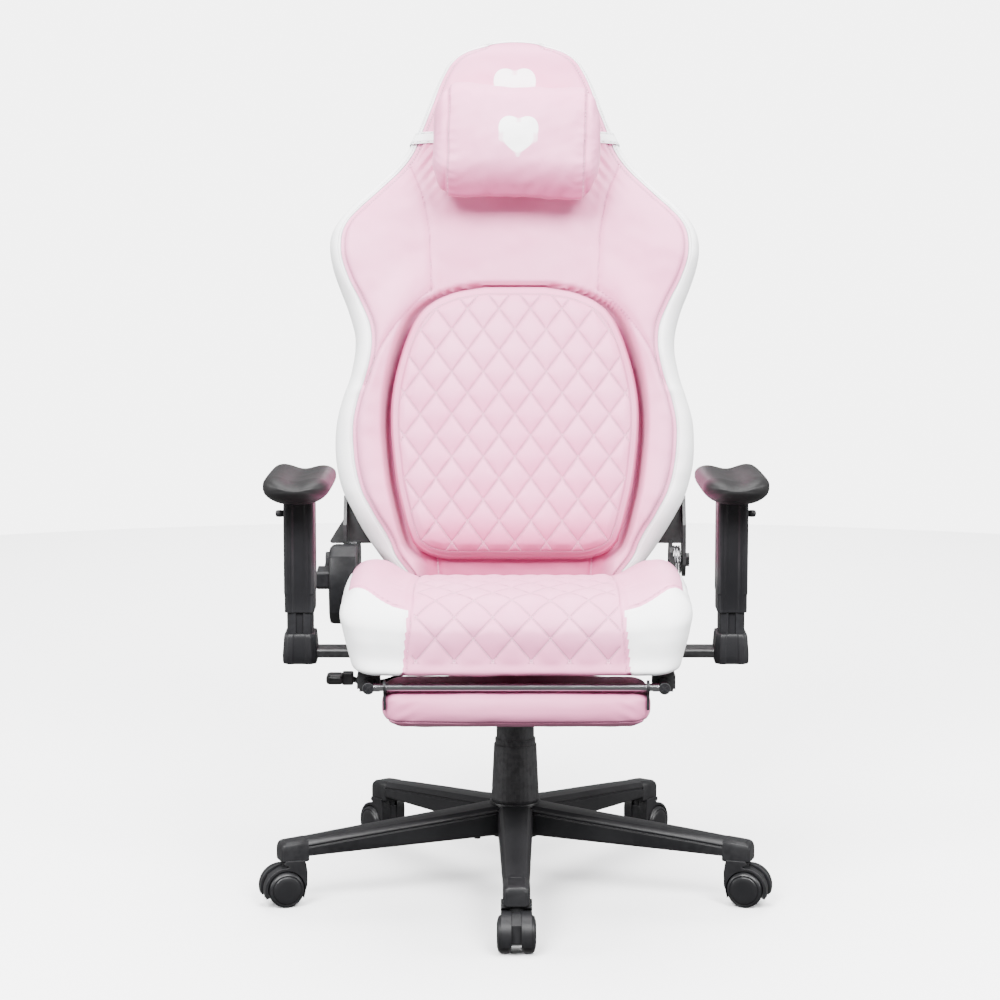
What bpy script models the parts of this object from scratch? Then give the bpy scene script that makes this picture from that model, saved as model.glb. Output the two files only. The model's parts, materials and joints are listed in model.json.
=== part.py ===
"""Gaming chair with a headrest pillow, a lumbar pad and a retractable footrest.

Metres, +Z up. The origin is on the floor on the column's axis, and the chair faces -Y.
Left and right are the sitter's, so the right side is at -X.
"""

import math

import bmesh
import bpy
from mathutils import Matrix, Vector

# Clearances
TOUCH = 0.0003  # between two pieces that meet
RUN = 0.0004  # round a piece that turns or slides

# Casters
WHEEL_RADIUS = 0.025
WHEEL_AXLE_RADIUS = 0.004
CASTER_WIDTH = 0.052
HOOD_WIDTH = 0.037
HOOD_WEB = 0.0185
HOOD_WALL = 0.0040
CASTER_TRAIL = 0.013
STEM_RADIUS = 0.0055
STEM_SHOWING = 0.0055
STEM_IN_BASE = 0.020

# Star base
ARM_COUNT = 5
CASTER_CIRCLE_RADIUS = 0.325
ARM_TIP_BEYOND_STEM = 0.019
ARM_TIP_BLOCK_LENGTH = 0.034
ARM_TIP_BLOCK_HEIGHT = 0.0275
ARM_TIP_DEPTH = 0.0205
ARM_TIP_WIDTH = 0.036
ARM_ROOT_WIDTH = 0.051
ARM_ROOT_DEPTH = 0.0415
ARM_RISE = 0.033
HUB_RADIUS = 0.0365
HUB_ABOVE_ARMS = 0.0015
HUB_HEIGHT = 0.050

# Column
COLUMN_RADIUS = 0.025
COLUMN_WALL = 0.0028
COLUMN_TAPER = 0.0012
COLUMN_LENGTH = 0.196
COLUMN_BELOW_HUB = 0.008
GAS_RADIUS = 0.014
GAS_WALL = 0.0022
GAS_TAPER = 0.0008
GAS_SHOWING = 0.065
ROD_RADIUS = 0.005
BUSH_LENGTH = 0.075
COVER_WALL = 0.0012
LOWER_COVER_HEIGHT = 0.080
LOWER_COVER_FLARE = 0.0036
LIFT_TRAVEL = 0.080

# Mechanism
HOUSING_WIDTH = 0.123
HOUSING_FRONT = -0.110
HOUSING_REAR = 0.080
HOUSING_WALL = 0.003
SOCKET_DEPTH = 0.0235
SOCKET_WALL = 0.0050
TILT_PIN_Y = -0.055
TILT_PIN_RADIUS = 0.005
TILT_PIN_ABOVE_GAS = 0.018
TILT_RANGE = math.radians(10)
PLATE_ABOVE_GAS = 0.0315
PLATE_THICKNESS = 0.0035
PLATE_WIDTH = 0.210
PLATE_FRONT = -0.076
PLATE_REAR = 0.115
LEVER_ROD_RADIUS = 0.004
LEVER_ROD_ABOVE_GAS = 0.0105
KNOB_RADIUS = 0.021
KNOB_HEIGHT = 0.024
SPRING_Y = 0.052

# Seat
SEAT_WIDTH = 0.473
SEAT_REAR_WIDTH = 0.446
SEAT_FRONT = -0.275
SEAT_REAR = 0.160
SEAT_BOLSTER = 0.112
SEAT_HEIGHT_FRONT = 0.078  # of the centre panel, above the frame's underside
SEAT_HEIGHT_REAR = 0.066
BOLSTER_RISE = 0.040
FRAME_TUBE_RADIUS = 0.009
FRAME_WIDTH = 0.400
FRAME_FRONT = -0.235
FRAME_REAR = 0.125
SKIRT = 0.012

# Armrests
ARM_X = 0.2945
ARM_Y = -0.100
ARM_BAR_HEIGHT = 0.0125
ARM_BAR_DEPTH = 0.040
ARM_BAR_INNER = 0.112
POST_WIDTH = 0.035
POST_DEPTH = 0.046
FOOT_WIDTH = 0.047
FOOT_HEIGHT = 0.042
FOOT_BELOW_BAR = 0.0075
SLEEVE_WALL = 0.003
SLEEVE_LENGTH = 0.152
SLEEVE_RAISED = 0.029
POST_LENGTH = 0.118
ARM_TRAVEL_UP = 0.045
PAD_WIDTH = 0.097
PAD_LENGTH = 0.255
PAD_THICKNESS = 0.046

# Footrest
RAIL_X = 0.1946
RAIL_RADIUS = 0.008
RAIL_WALL = 0.0015
RAIL_BELOW_FRAME = 0.0235
RAIL_FRONT = -0.278
RAIL_LENGTH = 0.360
CROSSBAR_RADIUS = 0.005
CROSSBAR_FROM_END = 0.010
FOOTREST_TRAVEL = 0.260
FOOTPAD_WIDTH = 0.342
FOOTPAD_DEPTH = 0.138
FOOTPAD_THICKNESS = 0.046
GUIDE_HALF_WIDTH = 0.0135
GUIDE_LENGTH = 0.036

# Recliner, at both sides
PLATE_X = 0.2262  # inner face of the lower bracket
BRACKET_THICKNESS = 0.0048
BRACKET_SPACE = 0.0145
RECLINER_RADIUS = 0.027
STUD_RADIUS = 0.0055
COVER_RADIUS = 0.058
COVER_THICKNESS = 0.0125
RECLINE_RANGE = 45

# Back, in its own leaning frame: x across, y from the front face rearwards, z up the slope
BACK_LEAN = math.radians(9.5)
BACK_Y = 0.172
BACK_ABOVE_FRAME = 0.0675
PIVOT_DEPTH = 0.032
PIVOT_HEIGHT = 0.010
BACK_BOTTOM = -0.018
BACK_TOP = 0.768
FOAM_DEPTH = 0.045
COVER_DEPTH = 0.027
COVER_SKIN = 0.0025
BACK_TUBE_RADIUS = 0.009
WING_DEPTH = 0.034
LUMBAR_WIDTH = 0.356
LUMBAR_HEIGHT = 0.400
LUMBAR_CENTRE = 0.219
LUMBAR_FRONT = -0.042
LUMBAR_REAR = 0.006
LUMBAR_POCKET = 0.020
LUMBAR_CLEARANCE = 0.008
PILLOW_WIDTH = 0.242
PILLOW_HEIGHT = 0.160
PILLOW_DEPTH = 0.084
PILLOW_CENTRE = 0.621
STRAP_WIDTH = 0.0175
STRAP_THICKNESS = 0.0015
STRAP_CENTRE = 0.628

# Outline of the back: height up the slope, half width
BACK_OUTLINE = (
    (BACK_BOTTOM, 0.168),
    (0.045, 0.215),
    (0.130, 0.252),
    (0.200, 0.2585),
    (0.290, 0.237),
    (0.340, 0.230),
    (0.400, 0.249),
    (0.470, 0.266),
    (0.515, 0.256),
    (0.575, 0.178),
    (0.640, 0.134),
    (0.700, 0.117),
    (0.745, 0.084),
    (BACK_TOP, 0.034),
)

# Heights that follow from the floor upwards
HOOD_RADIUS = WHEEL_RADIUS + RUN + HOOD_WALL + 0.0011
HOOD_TOP = WHEEL_RADIUS + HOOD_RADIUS + 0.001
BLOCK_BOTTOM = HOOD_TOP + STEM_SHOWING
TIP_TOP = BLOCK_BOTTOM + ARM_TIP_BLOCK_HEIGHT
ROOT_TOP = TIP_TOP + ARM_RISE
HUB_TOP = ROOT_TOP + HUB_ABOVE_ARMS
HUB_BOTTOM = HUB_TOP - HUB_HEIGHT
COLUMN_BOTTOM = HUB_BOTTOM - COLUMN_BELOW_HUB
COLUMN_TOP = COLUMN_BOTTOM + COLUMN_LENGTH
GAS_TOP = COLUMN_TOP + GAS_SHOWING
HOUSING_BOTTOM = GAS_TOP - SOCKET_DEPTH
TILT_PIN_Z = GAS_TOP + TILT_PIN_ABOVE_GAS
LEVER_Z = GAS_TOP + LEVER_ROD_ABOVE_GAS
PLATE_BOTTOM = GAS_TOP + PLATE_ABOVE_GAS
PLATE_TOP = PLATE_BOTTOM + PLATE_THICKNESS
FRAME_BOTTOM = PLATE_TOP + TOUCH
RAIL_Z = FRAME_BOTTOM - RAIL_BELOW_FRAME
BACK_Z = FRAME_BOTTOM + BACK_ABOVE_FRAME

# Side planes of the recliner
SPACE_X = PLATE_X + BRACKET_THICKNESS
OUTER_X = SPACE_X + BRACKET_SPACE
COVER_X = OUTER_X + BRACKET_THICKNESS + 0.0012


# Scene, finishes and shapes


def clear_scene():
    for obj in list(bpy.data.objects):
        bpy.data.objects.remove(obj, do_unlink=True)


def new_collection(name):
    collection = bpy.data.collections.new(name)
    bpy.context.scene.collection.children.link(collection)
    return collection


def new_material(name, colour, roughness, metallic=0.0):
    material = bpy.data.materials.new(name)
    material.use_nodes = True
    shader = material.node_tree.nodes["Principled BSDF"]
    shader.inputs["Base Color"].default_value = (*colour, 1)
    shader.inputs["Roughness"].default_value = roughness
    shader.inputs["Metallic"].default_value = metallic
    material.diffuse_color = (*colour, 1)
    return material


def shape_to_object(name, shape, collection, finish=None):
    """An object in a collection from a bmesh shape, which is used up."""
    bmesh.ops.recalc_face_normals(shape, faces=shape.faces)
    mesh = bpy.data.meshes.new(name)
    shape.to_mesh(mesh)
    shape.free()
    obj = bpy.data.objects.new(name, mesh)
    collection.objects.link(obj)
    if finish:
        mesh.materials.append(finish)
    else:
        obj.hide_render = True
        obj.display_type = "WIRE"
    return obj


def smooth(obj, angle=35):
    obj.data.shade_smooth()
    obj.data.set_sharp_from_angle(angle=math.radians(angle))


def part(name, finish, shape, joins=(), cuts=(), parent=None, rounding=0.0, segments=2):
    """One sub-part: a shape with others joined to it and cut from it, fixed to a joint's empty."""
    obj = shape_to_object(name, shape, PARTS, finish)
    smooth(obj)
    for operation, tools in (("UNION", joins), ("DIFFERENCE", cuts)):
        for index, tool in enumerate(tools):
            modifier = obj.modifiers.new(f"{operation.lower()}_{index}", "BOOLEAN")
            modifier.operation = operation
            modifier.object = shape_to_object(f"{name}_{operation.lower()}_{index}", tool, CUTTERS)
    if rounding:
        add_bevel(obj, rounding, segments)
    if parent:
        fix_to(obj, parent)
    return obj


def add_bevel(obj, width, segments=2, angle=50):
    bevel = obj.modifiers.new("rounded_edges", "BEVEL")
    bevel.width = width
    bevel.segments = segments
    bevel.limit_method = "ANGLE"
    bevel.angle_limit = math.radians(angle)


def fix_to(obj, empty):
    """Parents an object that was modelled in place to an empty, so that it stays where it is."""
    bpy.context.view_layer.update()
    obj.parent = empty
    obj.matrix_parent_inverse = empty.matrix_world.inverted()


def joint_empty(name, location, parent=None, rotation=(0, 0, 0)):
    empty = bpy.data.objects.new(name, None)
    empty.empty_display_size = 0.03
    empty.location = location
    empty.rotation_euler = rotation
    PARTS.objects.link(empty)
    if parent:
        fix_to(empty, parent)
    return empty


def box(low, high):
    shape = bmesh.new()
    bmesh.ops.create_cube(shape, size=1)
    size = Vector(high) - Vector(low)
    centre = (Vector(high) + Vector(low)) / 2
    bmesh.ops.transform(shape, verts=shape.verts, matrix=Matrix.Translation(centre) @ Matrix.Diagonal((*size, 1)))
    return shape


def rounded_box(low, high, radius, segments=2, edges=None):
    """A box whose edges are rounded, or only those along one axis (0, 1 or 2)."""
    shape = box(low, high)
    chosen = [
        edge
        for edge in shape.edges
        if edges is None or abs((edge.verts[0].co - edge.verts[1].co).normalized()[edges]) > 0.9
    ]
    bmesh.ops.bevel(shape, geom=chosen, offset=radius, segments=segments, profile=0.5, affect="EDGES")
    return shape


def rod(start, end, radius, end_radius=None, segments=24):
    """A round bar between two points, tapered where the two radii differ."""
    start, end = Vector(start), Vector(end)
    shape = bmesh.new()
    bmesh.ops.create_cone(
        shape,
        cap_ends=True,
        segments=segments,
        radius1=radius,
        radius2=radius if end_radius is None else end_radius,
        depth=(end - start).length,
    )
    turn = (end - start).to_track_quat("Z", "Y").to_matrix().to_4x4()
    bmesh.ops.transform(shape, verts=shape.verts, matrix=Matrix.Translation((start + end) / 2) @ turn)
    return shape


def turned(name, finish, profile, parent=None, steps=28, location=(0, 0, 0)):
    """A turned piece: a closed profile of (radius, height) points, down the outside and up the inside."""
    shape = bmesh.new()
    verts = [shape.verts.new((radius, 0, height)) for radius, height in profile]
    for index, vert in enumerate(verts):
        following = verts[(index + 1) % len(verts)]
        if vert.co.x > 0 or following.co.x > 0:
            shape.edges.new((vert, following))
    mesh = bpy.data.meshes.new(name)
    shape.to_mesh(mesh)
    shape.free()
    mesh.materials.append(finish)
    obj = bpy.data.objects.new(name, mesh)
    obj.location = location
    PARTS.objects.link(obj)
    screw = obj.modifiers.new("turned", "SCREW")
    screw.steps = steps
    screw.render_steps = steps
    screw.use_merge_vertices = True
    screw.merge_threshold = 0.00001
    if parent:
        fix_to(obj, parent)
    return obj


def curve_shape(points, kind="POLY", flat=False, cyclic=False, **settings):
    """A bmesh from a curve with its caps welded."""
    curve = bpy.data.curves.new("outline", "CURVE")
    curve.dimensions = "2D" if flat else "3D"
    for key, value in settings.items():
        setattr(curve, key, value)
    if flat:
        curve.fill_mode = "BOTH"
    else:
        curve.use_fill_caps = True
    spline = curve.splines.new(kind)
    if kind == "BEZIER":
        spline.bezier_points.add(len(points) - 1)
        for point, place in zip(spline.bezier_points, points):
            point.co = place
            point.handle_left_type = point.handle_right_type = "AUTO"
    else:
        spline.points.add(len(points) - 1)
        for point, place in zip(spline.points, points):
            point.co = (*place, 0, 1)[:3] + (1,)
    spline.use_cyclic_u = cyclic
    holder = bpy.data.objects.new("outline", curve)
    CUTTERS.objects.link(holder)
    bpy.context.view_layer.update()
    graph = bpy.context.evaluated_depsgraph_get()
    mesh = bpy.data.meshes.new_from_object(holder.evaluated_get(graph))
    shape = bmesh.new()
    shape.from_mesh(mesh)
    bmesh.ops.remove_doubles(shape, verts=shape.verts, dist=0.00001)
    bpy.data.objects.remove(holder, do_unlink=True)
    bpy.data.meshes.remove(mesh)
    return shape


def side_plate(outline, low_x, high_x):
    """A flat plate across X from an outline of (y, z) points."""
    shape = curve_shape(outline, flat=True, cyclic=True, extrude=abs(high_x - low_x) / 2)
    turn = Matrix(((0, 0, 1, (low_x + high_x) / 2), (1, 0, 0, 0), (0, 1, 0, 0), (0, 0, 0, 1)))
    bmesh.ops.transform(shape, verts=shape.verts, matrix=turn)
    return shape


def tube_shape(points, radius, sides=3, steps=4, cyclic=False):
    return curve_shape(
        points, "BEZIER", cyclic=cyclic, bevel_depth=radius, bevel_resolution=sides, resolution_u=steps
    )


def arc(centre, radius, start, end, count):
    """Points on an arc of a (y, z) outline, angles in degrees."""
    for index in range(count + 1):
        angle = math.radians(start + (end - start) * index / count)
        yield centre[0] + radius * math.cos(angle), centre[1] + radius * math.sin(angle)


def cage(cuts, move):
    """A cube from 0 to 1 each way, sliced at the cuts of each axis, whose points are then moved."""
    shape = box((0, 0, 0), (1, 1, 1))
    for axis, places in enumerate(cuts):
        normal = [0, 0, 0]
        normal[axis] = 1
        for place in places:
            point = [place * part for part in normal]
            geometry = shape.verts[:] + shape.edges[:] + shape.faces[:]
            bmesh.ops.bisect_plane(shape, geom=geometry, plane_co=point, plane_no=normal, dist=0.0001)
    for vert in shape.verts:
        vert.co = move(*vert.co)
    return shape


def evaluated_mesh(obj):
    bpy.context.view_layer.update()
    graph = bpy.context.evaluated_depsgraph_get()
    return bpy.data.meshes.new_from_object(obj.evaluated_get(graph))


def made_whole(obj):
    """Applies an object's modifiers, so that copies can share its mesh."""
    mesh = evaluated_mesh(obj)
    obj.modifiers.clear()
    obj.data = mesh
    return obj


def mirror_copy(obj, name, parent=None):
    """The other side's copy of a piece that was modelled in place."""
    made_whole(obj)
    shape = bmesh.new()
    shape.from_mesh(obj.data)
    bmesh.ops.transform(shape, verts=shape.verts, matrix=Matrix.Diagonal((-1, 1, 1, 1)) @ obj.matrix_world)
    bmesh.ops.reverse_faces(shape, faces=shape.faces)
    mesh = bpy.data.meshes.new(name)
    shape.to_mesh(mesh)
    shape.free()
    mesh.materials.append(obj.data.materials[0])
    copy = bpy.data.objects.new(name, mesh)
    PARTS.objects.link(copy)
    if parent:
        fix_to(copy, parent)
    return copy


def smoothed(obj, levels=1):
    subdivision = obj.modifiers.new("soft", "SUBSURF")
    subdivision.levels = levels
    subdivision.render_levels = levels
    return obj


def between(table, value):
    """A smooth curve through the (position, size) pairs of a table."""
    last = len(table) - 1
    value = min(max(value, table[0][0]), table[last][0])
    index = max(i for i in range(last) if table[i][0] <= value)
    (x0, y0), (x1, y1) = table[index], table[index + 1]

    def slope(i):
        before, after = table[max(i - 1, 0)], table[min(i + 1, last)]
        return (after[1] - before[1]) / (after[0] - before[0])

    span = x1 - x0
    t = (value - x0) / span
    return (
        (2 * t**3 - 3 * t**2 + 1) * y0
        + (t**3 - 2 * t**2 + t) * span * slope(index)
        + (3 * t**2 - 2 * t**3) * y1
        + (t**3 - t**2) * span * slope(index + 1)
    )


# Base and casters


def arm_profile(shape, reach, root):
    """Turns a unit cage into one arm along +X, from the hub to the tip."""
    for vert in shape.verts:
        along, across, up = vert.co
        width = ARM_ROOT_WIDTH + (ARM_TIP_WIDTH - ARM_ROOT_WIDTH) * along
        top = ROOT_TOP + (TIP_TOP - ROOT_TOP) * along
        depth = ARM_ROOT_DEPTH + (ARM_TIP_DEPTH - ARM_ROOT_DEPTH) * along
        vert.co = (root + (reach - root) * along, (across - 0.5) * width, top - depth * (1 - up))
    return shape


def make_base(finish):
    root = 0.010
    reach = CASTER_CIRCLE_RADIUS + ARM_TIP_BEYOND_STEM
    hub = rod((0, 0, HUB_BOTTOM), (0, 0, HUB_TOP), HUB_RADIUS, segments=40)
    joins, cuts = [], []
    for index in range(ARM_COUNT):
        turn = Matrix.Rotation(math.radians(-90 + 360 / ARM_COUNT * index), 4, "Z")
        arm = arm_profile(box((0, 0, 0), (1, 1, 1)), reach, root)
        upper = [
            edge
            for edge in arm.edges
            if min(v.co.z - ROOT_TOP + ARM_RISE * 1.01 for v in edge.verts) > 0
            and abs(edge.verts[0].co.x - edge.verts[1].co.x) > reach / 2
        ]
        bmesh.ops.bevel(arm, geom=upper, offset=0.011, segments=3, profile=0.5, affect="EDGES")
        block = rounded_box(
            (reach - ARM_TIP_BLOCK_LENGTH, -ARM_TIP_WIDTH / 2, BLOCK_BOTTOM),
            (reach - 0.0004, ARM_TIP_WIDTH / 2, TIP_TOP - 0.009),
            0.008,
            3,
            edges=2,
        )
        pocket_floor = [
            (0.075, ARM_ROOT_WIDTH / 2 - 0.006),
            (reach - ARM_TIP_BLOCK_LENGTH - 0.006, ARM_TIP_WIDTH / 2 - 0.004),
        ]
        pocket = box((pocket_floor[0][0], -1, 0), (pocket_floor[1][0], 1, 1))
        for vert in pocket.verts:
            near_tip = vert.co.x > 0.2
            fraction = (vert.co.x - root) / (reach - root)
            roof = ROOT_TOP + (TIP_TOP - ROOT_TOP) * fraction - 0.0075
            vert.co.y *= pocket_floor[near_tip][1]
            vert.co.z = roof if vert.co.z > 0.5 else BLOCK_BOTTOM - 0.01
        socket = rod(
            (CASTER_CIRCLE_RADIUS, 0, BLOCK_BOTTOM - 0.01),
            (CASTER_CIRCLE_RADIUS, 0, BLOCK_BOTTOM + STEM_IN_BASE),
            STEM_RADIUS + RUN,
        )
        for shape, group in ((arm, joins), (block, joins), (pocket, cuts), (socket, cuts)):
            bmesh.ops.transform(shape, verts=shape.verts, matrix=turn)
            group.append(shape)
    bore = rod(
        (0, 0, COLUMN_BOTTOM - 0.001),
        (0, 0, HUB_TOP + 0.001),
        COLUMN_RADIUS - COLUMN_TAPER + TOUCH,
        COLUMN_RADIUS + TOUCH,
        40,
    )
    cuts.append(bore)
    return part("star_base", finish, hub, joins, cuts)


def make_caster_hood(finish):
    """One caster's hood with its stem, its swivel axis on Z, its wheels trailing towards +X."""
    half = HOOD_WIDTH / 2
    axle = (CASTER_TRAIL, WHEEL_RADIUS)
    web = HOOD_WEB / 2
    shell = rod((axle[0], -half, axle[1]), (axle[0], half, axle[1]), HOOD_RADIUS, segments=32)
    boss = rod((0, 0, 0.010), (0, 0, HOOD_TOP), HOOD_WIDTH / 2 - 0.0006, segments=24)
    recess = rod((0, 0, HOOD_TOP - 0.005), (0, 0, HOOD_TOP + 0.01), HOOD_WIDTH / 2 - 0.005, segments=24)
    stem = rod((0, 0, HOOD_TOP - 0.012), (0, 0, BLOCK_BOTTOM + STEM_IN_BASE - 0.001), STEM_RADIUS, segments=20)
    room = WHEEL_RADIUS + 0.0011
    sides = [
        rod((axle[0], side * web, axle[1]), (axle[0], side * 2 * half, axle[1]), room, segments=32)
        for side in (-1, 1)
    ]
    hole = rod((axle[0], -half, axle[1]), (axle[0], half, axle[1]), WHEEL_AXLE_RADIUS + RUN, segments=20)
    under = box((-0.06, -0.05, -0.03), (0.08, 0.05, 0.0))
    slope = Matrix.Translation((axle[0], 0, 0.0145)) @ Matrix.Rotation(math.radians(6), 4, "Y")
    bmesh.ops.transform(under, verts=under.verts, matrix=slope)
    hood = part("caster_hood_1", finish, shell, [boss], [recess, *sides, hole, under])
    return hood, stem


def make_casters(hood_finish, wheel_finish):
    hood, stem = make_caster_hood(hood_finish)
    joined = hood.modifiers.new("stem", "BOOLEAN")
    joined.operation = "UNION"
    joined.object = shape_to_object("caster_stem", stem, CUTTERS)
    made_whole(hood)
    web = HOOD_WEB / 2 + 0.0012
    outer = CASTER_WIDTH / 2
    dome = 0.0062
    profile = [(WHEEL_RADIUS - 0.0065, outer)]
    profile += [(WHEEL_RADIUS, outer - dome), (WHEEL_RADIUS, web), (WHEEL_AXLE_RADIUS, web)]
    profile += [(radius, -height) for radius, height in reversed(profile)]
    profile += [(0, -outer), (0, outer)]
    wheels = turned("caster_wheels_1", wheel_finish, profile, steps=28)
    made_whole(wheels)
    lay_down = Matrix.Translation((CASTER_TRAIL, 0, WHEEL_RADIUS)) @ Matrix.Rotation(math.pi / 2, 4, "X")
    wheels.data.transform(lay_down)
    smooth(wheels)
    for index in range(ARM_COUNT):
        angle = math.radians(-90 + 360 / ARM_COUNT * index)
        place = (CASTER_CIRCLE_RADIUS * math.cos(angle), CASTER_CIRCLE_RADIUS * math.sin(angle), 0)
        swivel = joint_empty(f"caster_swivel_{index + 1}", place, rotation=(0, 0, angle))
        for first, name in ((hood, "caster_hood"), (wheels, "caster_wheels")):
            piece = first
            if index:
                piece = bpy.data.objects.new(f"{name}_{index + 1}", first.data)
                PARTS.objects.link(piece)
            piece.parent = swivel


# Column


def make_column(finishes, spindle, middle, lift):
    steel, chrome, plastic, brass = (finishes[key] for key in ("black_steel", "chrome", "plastic", "brass"))
    inner = COLUMN_RADIUS - COLUMN_WALL
    floor = COLUMN_BOTTOM + 0.0035
    rod_hole = ROD_RADIUS + 0.0010
    turned(
        "column_tube",
        steel,
        [
            (COLUMN_RADIUS, COLUMN_TOP),
            (COLUMN_RADIUS, HUB_TOP + 0.001),
            (COLUMN_RADIUS - COLUMN_TAPER, COLUMN_BOTTOM),
            (rod_hole, COLUMN_BOTTOM),
            (rod_hole, floor),
            (inner - COLUMN_TAPER, floor),
            (inner, HUB_TOP + 0.001),
            (inner, COLUMN_TOP),
        ],
    )
    bush_bottom = COLUMN_TOP - BUSH_LENGTH
    bush = [(inner - TOUCH, COLUMN_TOP - 0.001), (inner - TOUCH, bush_bottom)]
    bush += [(GAS_RADIUS + RUN, bush_bottom), (GAS_RADIUS + RUN, COLUMN_TOP - 0.001)]
    turned("guide_bush", brass, bush)
    bearing = [(0.0150, floor + 0.0063), (0.0150, floor + TOUCH)]
    bearing += [(rod_hole, floor + TOUCH), (rod_hole, floor + 0.0063)]
    turned("thrust_bearing", chrome, bearing, steps=24)
    clip_top = COLUMN_BOTTOM - TOUCH
    turned(
        "rod_clip",
        chrome,
        [(0.0100, clip_top), (0.0100, clip_top - 0.0015), (ROD_RADIUS + TOUCH, clip_top - 0.0015),
         (ROD_RADIUS + TOUCH, clip_top)],
        spindle,
        24,
    )
    gas_bottom = floor + 0.0063 + 0.003
    cavity = GAS_RADIUS - GAS_WALL
    plug = GAS_TOP - 0.018
    pin_radius = 0.0030
    turned(
        "gas_cylinder",
        chrome,
        [
            (GAS_RADIUS - GAS_TAPER, GAS_TOP),
            (GAS_RADIUS, HOUSING_BOTTOM),
            (GAS_RADIUS, gas_bottom),
            (ROD_RADIUS + RUN, gas_bottom),
            (ROD_RADIUS + RUN, gas_bottom + 0.006),
            (cavity, gas_bottom + 0.006),
            (cavity, plug),
            (pin_radius + RUN, plug),
            (pin_radius + RUN, GAS_TOP),
        ],
        lift,
    )
    piston = cavity - RUN
    rod_tip = COLUMN_BOTTOM - 0.0085
    piston_top = plug - 0.005
    turned(
        "piston_rod",
        chrome,
        [(piston, piston_top), (piston, piston_top - 0.010), (ROD_RADIUS, piston_top - 0.010),
         (ROD_RADIUS, rod_tip), (0, rod_tip), (0, piston_top)],
        spindle,
        24,
    )
    pin_top = GAS_TOP + 0.004
    turned(
        "release_pin",
        chrome,
        [(pin_radius, pin_top), (pin_radius, plug - 0.0002), (0, plug - 0.0002), (0, pin_top)],
        joint_empty("release_press", (0, 0, GAS_TOP), lift),
        20,
    )
    make_covers(plastic, middle, lift)


def make_covers(plastic, middle, lift):
    """Three plastic sleeves that slide into each other."""
    top_inner = COLUMN_RADIUS + RUN
    top_outer = top_inner + COVER_WALL
    mid_inner = top_outer + RUN
    mid_outer = mid_inner + COVER_WALL
    low_inner = mid_outer + RUN + 0.0003
    low_outer = low_inner + COVER_WALL
    low_bottom = HUB_TOP + TOUCH
    low_top = low_bottom + LOWER_COVER_HEIGHT
    turned(
        "cover_lower",
        plastic,
        [
            (low_outer, low_top),
            (low_outer + LOWER_COVER_FLARE * 0.75, low_bottom + 0.022),
            (low_outer + LOWER_COVER_FLARE, low_bottom + 0.003),
            (low_outer + LOWER_COVER_FLARE - 0.001, low_bottom),
            (low_inner + LOWER_COVER_FLARE - 0.001, low_bottom),
            (low_inner + LOWER_COVER_FLARE * 0.75, low_bottom + 0.022),
            (low_inner, low_top),
        ],
        steps=32,
    )
    mid_top = low_top + 0.0085
    mid_bottom = low_bottom + 0.010
    turned(
        "cover_middle",
        plastic,
        [
            (mid_outer + 0.0003, mid_top),
            (mid_outer + 0.0003, low_top + TOUCH),
            (mid_outer, low_top + TOUCH),
            (mid_outer, mid_bottom),
            (mid_inner, mid_bottom),
            (mid_inner, mid_top),
        ],
        middle,
        32,
    )
    top_top = HOUSING_BOTTOM - 0.004
    turned(
        "cover_upper",
        plastic,
        [
            (top_outer, top_top),
            (top_outer, low_bottom + 0.020),
            (top_inner, low_bottom + 0.020),
            (top_inner, top_top - 0.0025),
            (GAS_RADIUS + TOUCH, top_top - 0.0025),
            (GAS_RADIUS + TOUCH, top_top),
        ],
        lift,
        32,
    )


# Mechanism


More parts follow.
